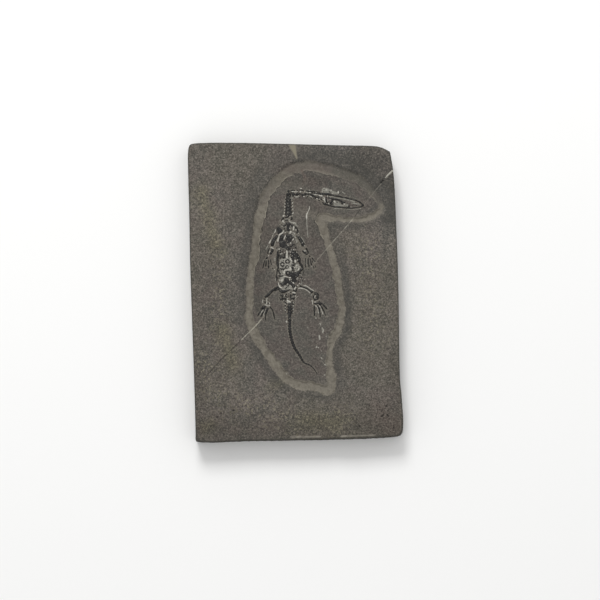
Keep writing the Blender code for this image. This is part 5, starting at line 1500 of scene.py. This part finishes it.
# The tail: a long tapering string of vertebrae, with side processes behind the hips.
# A smooth core runs under the row of vertebrae, so that no stone shows between them.
TAIL_BASE = [
    [(-3.7, 0.1, 1.3), (-3.5, -0.8, 1.3)],
    [(-5.6, -1.4, 1.5), (-5, -1.7, 1.2)],
    [(-7.9, -1.7, 1.6), (-6.8, -2, 1.5)],
    [(-2.2, -1.3, 1.5), (-0.9, -1.7, 1.5), (0.3, -2.3, 1.2)],
    [(-3.9, -1.8, 1.6), (-3.8, -3.7, 1.5), (-3.4, -5.3, 1.5), (-3.5, -6.6, 1.5)],
    [(-12.9, -2.7, 1.2), (-11.1, -2.7, 1.5), (-9.4, -3, 1.3)],
    [(-12.6, -6.8, 1.1), (-11.4, -5.6, 1.2), (-10, -5.1, 1.2), (-8.5, -5.3, 1.3), (-7.3, -5.8, 1.3)],
    [(-13.4, -4.6, 1), (-12.2, -4.9, 1)],
    [(-2.6, -5, 1.5), (-1.4, -5.1, 1.6), (0, -4.7, 1.2)],
    [(-5.4, -5.5, 1.3), (-5.1, -6.2, 1.2)],
    [(-9.9, -7.9, 0.9), (-8.1, -8.3, 1.2)],
    [(-2.7, -8.1, 1.6), (-1.7, -8.1, 1.5)],
    [(-8.9, -11.1, 1.2), (-7.7, -11.3, 1.5)],
    [(-8.9, -13.6, 1), (-7.7, -13.9, 1.1)],
    [(-8.9, -16.3, 1), (-7.6, -16.5, 1.1)],
    [(-3.2, -10.2, 1.2), (-0.6, -10.5, 1)],
    [(-3.4, -13.9, 1.2), (-1.3, -13.1, 1.2)],
    [(-3.5, -16.6, 1.2), (-1.5, -15.7, 1.1)],
    [(-7.6, -3.8, 1), (-6.1, -4.3, 1)],
]
# Bars across the first vertebrae of the tail: heights at the left and the right end
TAIL_BASE += [[(-8.5, at_left, 0.8), (-1.7, at_right, 0.8)]
              for at_left, at_right in ((-9.5, -9.1), (-12.4, -12), (-14.9, -14.6), (-17.8, -17.4))]
TAIL_CALCITE = [
    [(-6.6, -6.3, 1.1), (-6.2, -7.6, 2.1), (-4.7, -8.1, 1.9), (-3.7, -8.5, 1.2)],
    [(-6.9, -9, 1.1), (-5.6, -8.8, 1.2)],
    [(-5.7, -0.3, 1.5), (-4.7, 0, 1)],
    [(-2.7, -0.2, 1.2), (-0.7, -0.7, 1.2), (0.6, -0.8, 0.9)],
    [(-2.1, -3.2, 1.3), (-1.4, -3.2, 1.1)],
    [(-10.5, -6.6, 1.6), (-10, -6.8, 1.3)],
    [(-8.4, -9.9, 1.2), (-7.6, -10.1, 1.1)],
    [(-8.4, -12.4, 1.3), (-7.6, -12.9, 1.5)],
    [(-7.9, -15, 1.3)],
    [(-7.6, -17.8, 1.2)],
    [(-7.6, -23.8, 1.2), (-6.7, -25.5, 1.3)],
    [(-2.5, -23.2, 1.3), (-2.3, -23.7, 1.3)],
]
# Calcite at the right ends of those bars
TAIL_CALCITE += [[(-2.2, at_left, 0.8), (-1.1, at_right, 0.8)]
                 for at_left, at_right in ((-8.8, -8.5), (-11.5, -11.3), (-14.3, -14), (-16.8, -16.5))]
TAIL_MARL = [
    [(-7.6, -20.2, 0.9)],
    [(-7.1, -27.8, 0.9)],
    [(-6.7, -29.9, 0.8)],
    [(-6.1, -33.2, 0.7)],
    [(-5.4, -36.9, 0.7)],
    [(-7.2, -3.3, 0.8)],
    [(-6.6, -0.3, 0.9)],
    [(-1.7, -9.2, 0.7)],
]
TAIL_TOPS = [
    [(-4.7, -11, 1), (-4.6, -11.6, 1)],
    [(-4.6, -16.3, 0.9)],
    [(-4.4, -21.9, 1)],
]
TAIL_LINE = [(-4.8, -9.4, 2.8), (-4.7, -11.4, 3.8), (-4.6, -17.0, 3.7), (-4.6, -20.0, 3.3),
             (-4.6, -26.0, 3.2), (-4.4, -32.0, 3.2), (-3.0, -39.0, 3.1), (-1.0, -45.2, 3.0),
             (1.3, -49.0, 2.8), (4.0, -53.1, 2.4), (6.1, -56.9, 2.0), (8.0, -59.0, 1.7),
             (10.8, -60.0, 1.5), (13.3, -61.4, 1.3), (15.6, -63.9, 1.1), (17.5, -66.8, 0.9)]
CORE_SHARE = 0.62
HIP_AREA = [(-13.0, -1.0), (-9.0, -2.0), (0.0, -1.0), (2.0, -4.0), (0.0, -9.0), (-5.0, -11.0), (-12.0, -7.0)]
tail_core = [(x, y, CORE_SHARE * width) for x, y, width in TAIL_LINE]
bone_piece("tail_bones", [sunk_lines(TAIL_BASE, 0.4), sunk_lines([tail_core], 0.2),
                          sunk_lines(splinters(HIP_AREA, 26, 2.0, seed=76), 0.4),
                          vertebra_row(TAIL_LINE, length=2.3, tall=0.26)], "tail_vertebrae")
infill_piece("tail_infill", (1.0, sunk_lines(TAIL_CALCITE, 0.25, raised=0.1)),
             (0.4, sunk_lines(TAIL_MARL, 0.2)),
             (0.6, sunk_lines(splinters(HIP_AREA, 22, 1.7, seed=77), 0.25)),
             (0.1, sunk_lines(TAIL_TOPS, 0.1, raised=0.45)))

# Calcite: a thin upright vein by the neck, small white flecks on the bed, and a pale ridge where the
# healed crack meets the upper right corner. They grew in the stone and are almost flush with it.
VEIN_TOP = [
    [(11.8, 71.7, 0.6), (11.7, 69.5, 0.7), (11.1, 68.1, 0.7), (10.3, 66.2, 0.8), (9.5, 64.6, 1.2),
     (9.5, 62.7, 1.2), (9.6, 60.9, 0.8)],
]
VEIN_FOOT = [
    [(9.6, 60.9, 0.7), (9.7, 58.3, 0.6), (9.8, 55.8, 0.7), (10, 52.3, 0.6), (10.3, 49.3, 0.6),
     (10.7, 45.3, 0.5)],
]
FLECKS = [
    [(20.4, -25.6, 1), (21.3, -27.7, 0.9)],
    [(22, -29.4, 0.9), (23.3, -31.7, 1.3), (22.5, -34, 1.5)],
    [(20, -35.7, 1.3), (20.3, -38.2, 1.6), (20.5, -39.8, 1.1)],
    [(18.2, -45.2, 1.6), (17.2, -46.3, 1.3)],
    [(18.7, -46.3, 1.1), (19.8, -46, 0.9)],
    [(21.2, -53.9, 0.9), (22.5, -55.9, 1.1)],
    [(24.2, -59.8, 1.1), (25.8, -61, 0.9)],
    [(25.3, -37, 0.9), (26.1, -36.4, 0.9)],
    [(21.8, -49, 0.9)],
    [(5.4, -61.4, 0.7)],
    [(-7.1, -67.9, 1)],
    [(23.8, -69.2, 1.6), (25, -68.6, 1.3)],
    [(29.1, -30.7, 0.9)],
    [(13.9, -40.7, 0.8)],
    [(10.4, -29.5, 0.8)],
    [(4.7, -17.1, 0.8)],
    [(-11.9, -15.1, 1.1)],
    [(-10.2, -28.6, 0.9)],
    [(-9.4, -49.5, 0.8)],
]
EDGE_RIDGE = [
    [(81.4, 101.5, 1.7), (79.3, 99.6, 1.7), (76.9, 97.3, 1.3), (74.9, 95.1, 0.8)],
]
infill_piece("calcite_flecks", (1.0, sunk_lines(VEIN_TOP, 0.12)), (0.35, sunk_lines(VEIN_FOOT, 0.12)),
             (0.55, sunk_lines(FLECKS, 0.12)), (0.9, sunk_lines(EDGE_RIDGE, 0.35)))

# Beside the bones the stone was scraped once more with a fine needle, so a thin pale margin runs
# round them. The slab carries it as one more value, found from the lines of the bones.
MARGIN = 0.9
MARGIN_STRENGTH = 0.45
MARGIN_START = 0.2
BONE_LINES = (JAW + NECK_FRONT + NECK_JOINTS + COLLAR + RIGHT_SCAPULA
              + LEFT_HUMERUS + LEFT_RADIUS + LEFT_ULNA + RIGHT_HUMERUS + RIGHT_RADIUS + RIGHT_ULNA
              + LEFT_RIBS + RIGHT_RIBS + PELVIS + LEFT_FEMUR + RIGHT_FEMUR + LEFT_TIBIA + LEFT_FIBULA
              + RIGHT_TIBIA + RIGHT_FIBULA + LEFT_FOOT + RIGHT_FOOT + LEFT_HAND + RIGHT_HAND
              + [TAIL_LINE] + TAIL_BASE)
body = (np.abs(face_x - 10) < 50) & (np.abs(face_y - 10) < 82)
beside = np.full(body.sum(), 9.0)
for line in BONE_LINES:
    if len(line) > 1:
        gap, width, _, _ = to_line(face_x[body], face_y[body], np.array(line))
        beside = np.minimum(beside, gap - 0.5 * width)
pale_margin = MARGIN_STRENGTH * (1 - ease((beside - MARGIN_START) / MARGIN))
margin = np.zeros(len(face_x))
margin[body] = pale_margin * (0.7 + 0.3 * ripple(face_x, face_y, 2.0, 51)[body])
carry(slab.data, "by_bone", margin)

# The floor: a wide pale sheet of matt paper under the slab, as in a studio. It is stage only.
# The air round it is white, so the shadows stay soft.
FLOOR_REACH = 6.0
floor_material = bpy.data.materials.new("pale_matt_paper")
floor_material.use_nodes = True
fill(floor_material.node_tree, floor_material.node_tree.nodes["Principled BSDF"],
     {"Base Color": "F2F2F1", "Roughness": 0.9})
floor_mesh = bpy.data.meshes.new("floor")
corners = [(-FLOOR_REACH, -FLOOR_REACH, 0), (FLOOR_REACH, -FLOOR_REACH, 0),
           (FLOOR_REACH, FLOOR_REACH, 0), (-FLOOR_REACH, FLOOR_REACH, 0)]
floor_mesh.from_pydata(corners, [], [(0, 1, 2, 3)])
floor_mesh.materials.append(floor_material)
floor = bpy.data.objects.new("floor", floor_mesh)
bpy.context.scene.collection.objects.link(floor)

world = bpy.data.worlds.new("pale_studio")
world.use_nodes = True
fill(world.node_tree, world.node_tree.nodes["Background"], {"Color": "FFFFFF", "Strength": 0.72})
bpy.context.scene.world = world

# The light: one large soft lamp beyond the far edge, a little to the left, at the height of a window.
# It is a square sheet of light, so each small rise casts a soft short shadow towards the near edge.
LIGHT_SIZE = 1.0
LIGHT_POWER = 40
LIGHT_DISTANCE = 2.6
LIGHT_AZIMUTH = math.radians(-12)
LIGHT_ELEVATION = math.radians(42)
lamp = bpy.data.lights.new("window_light", "AREA")
lamp.energy = LIGHT_POWER
lamp.size = LIGHT_SIZE
window_light = bpy.data.objects.new("window_light", lamp)
towards_light = Vector((math.sin(LIGHT_AZIMUTH) * math.cos(LIGHT_ELEVATION),
                        math.cos(LIGHT_AZIMUTH) * math.cos(LIGHT_ELEVATION), math.sin(LIGHT_ELEVATION)))
window_light.location = towards_light * LIGHT_DISTANCE
window_light.rotation_euler = (-window_light.location).to_track_quat("-Z", "Y").to_euler()
bpy.context.scene.collection.objects.link(window_light)

# The camera looks down at the slab from 4 degrees towards the near edge, as the photographer did.
# The photograph's width and the point at its middle set the lens and the place.
PHOTO_MIDDLE = Vector((4.0, -6.6, 18.0)) * MM
PHOTO_WIDTH = 0.498
CAMERA_DISTANCE = 2.4
CAMERA_TILT = math.radians(4.0)
lens = bpy.data.cameras.new("camera")
lens.sensor_width = 36.0
lens.lens = lens.sensor_width * CAMERA_DISTANCE / PHOTO_WIDTH
lens.clip_end = 50.0
camera = bpy.data.objects.new("camera", lens)
towards_camera = Vector((0, -math.sin(CAMERA_TILT), math.cos(CAMERA_TILT)))
camera.location = PHOTO_MIDDLE + towards_camera * CAMERA_DISTANCE
camera.rotation_euler = (CAMERA_TILT, 0.0, 0.0)
bpy.context.scene.collection.objects.link(camera)
bpy.context.scene.camera = camera
bpy.context.scene.view_settings.view_transform = "Standard"
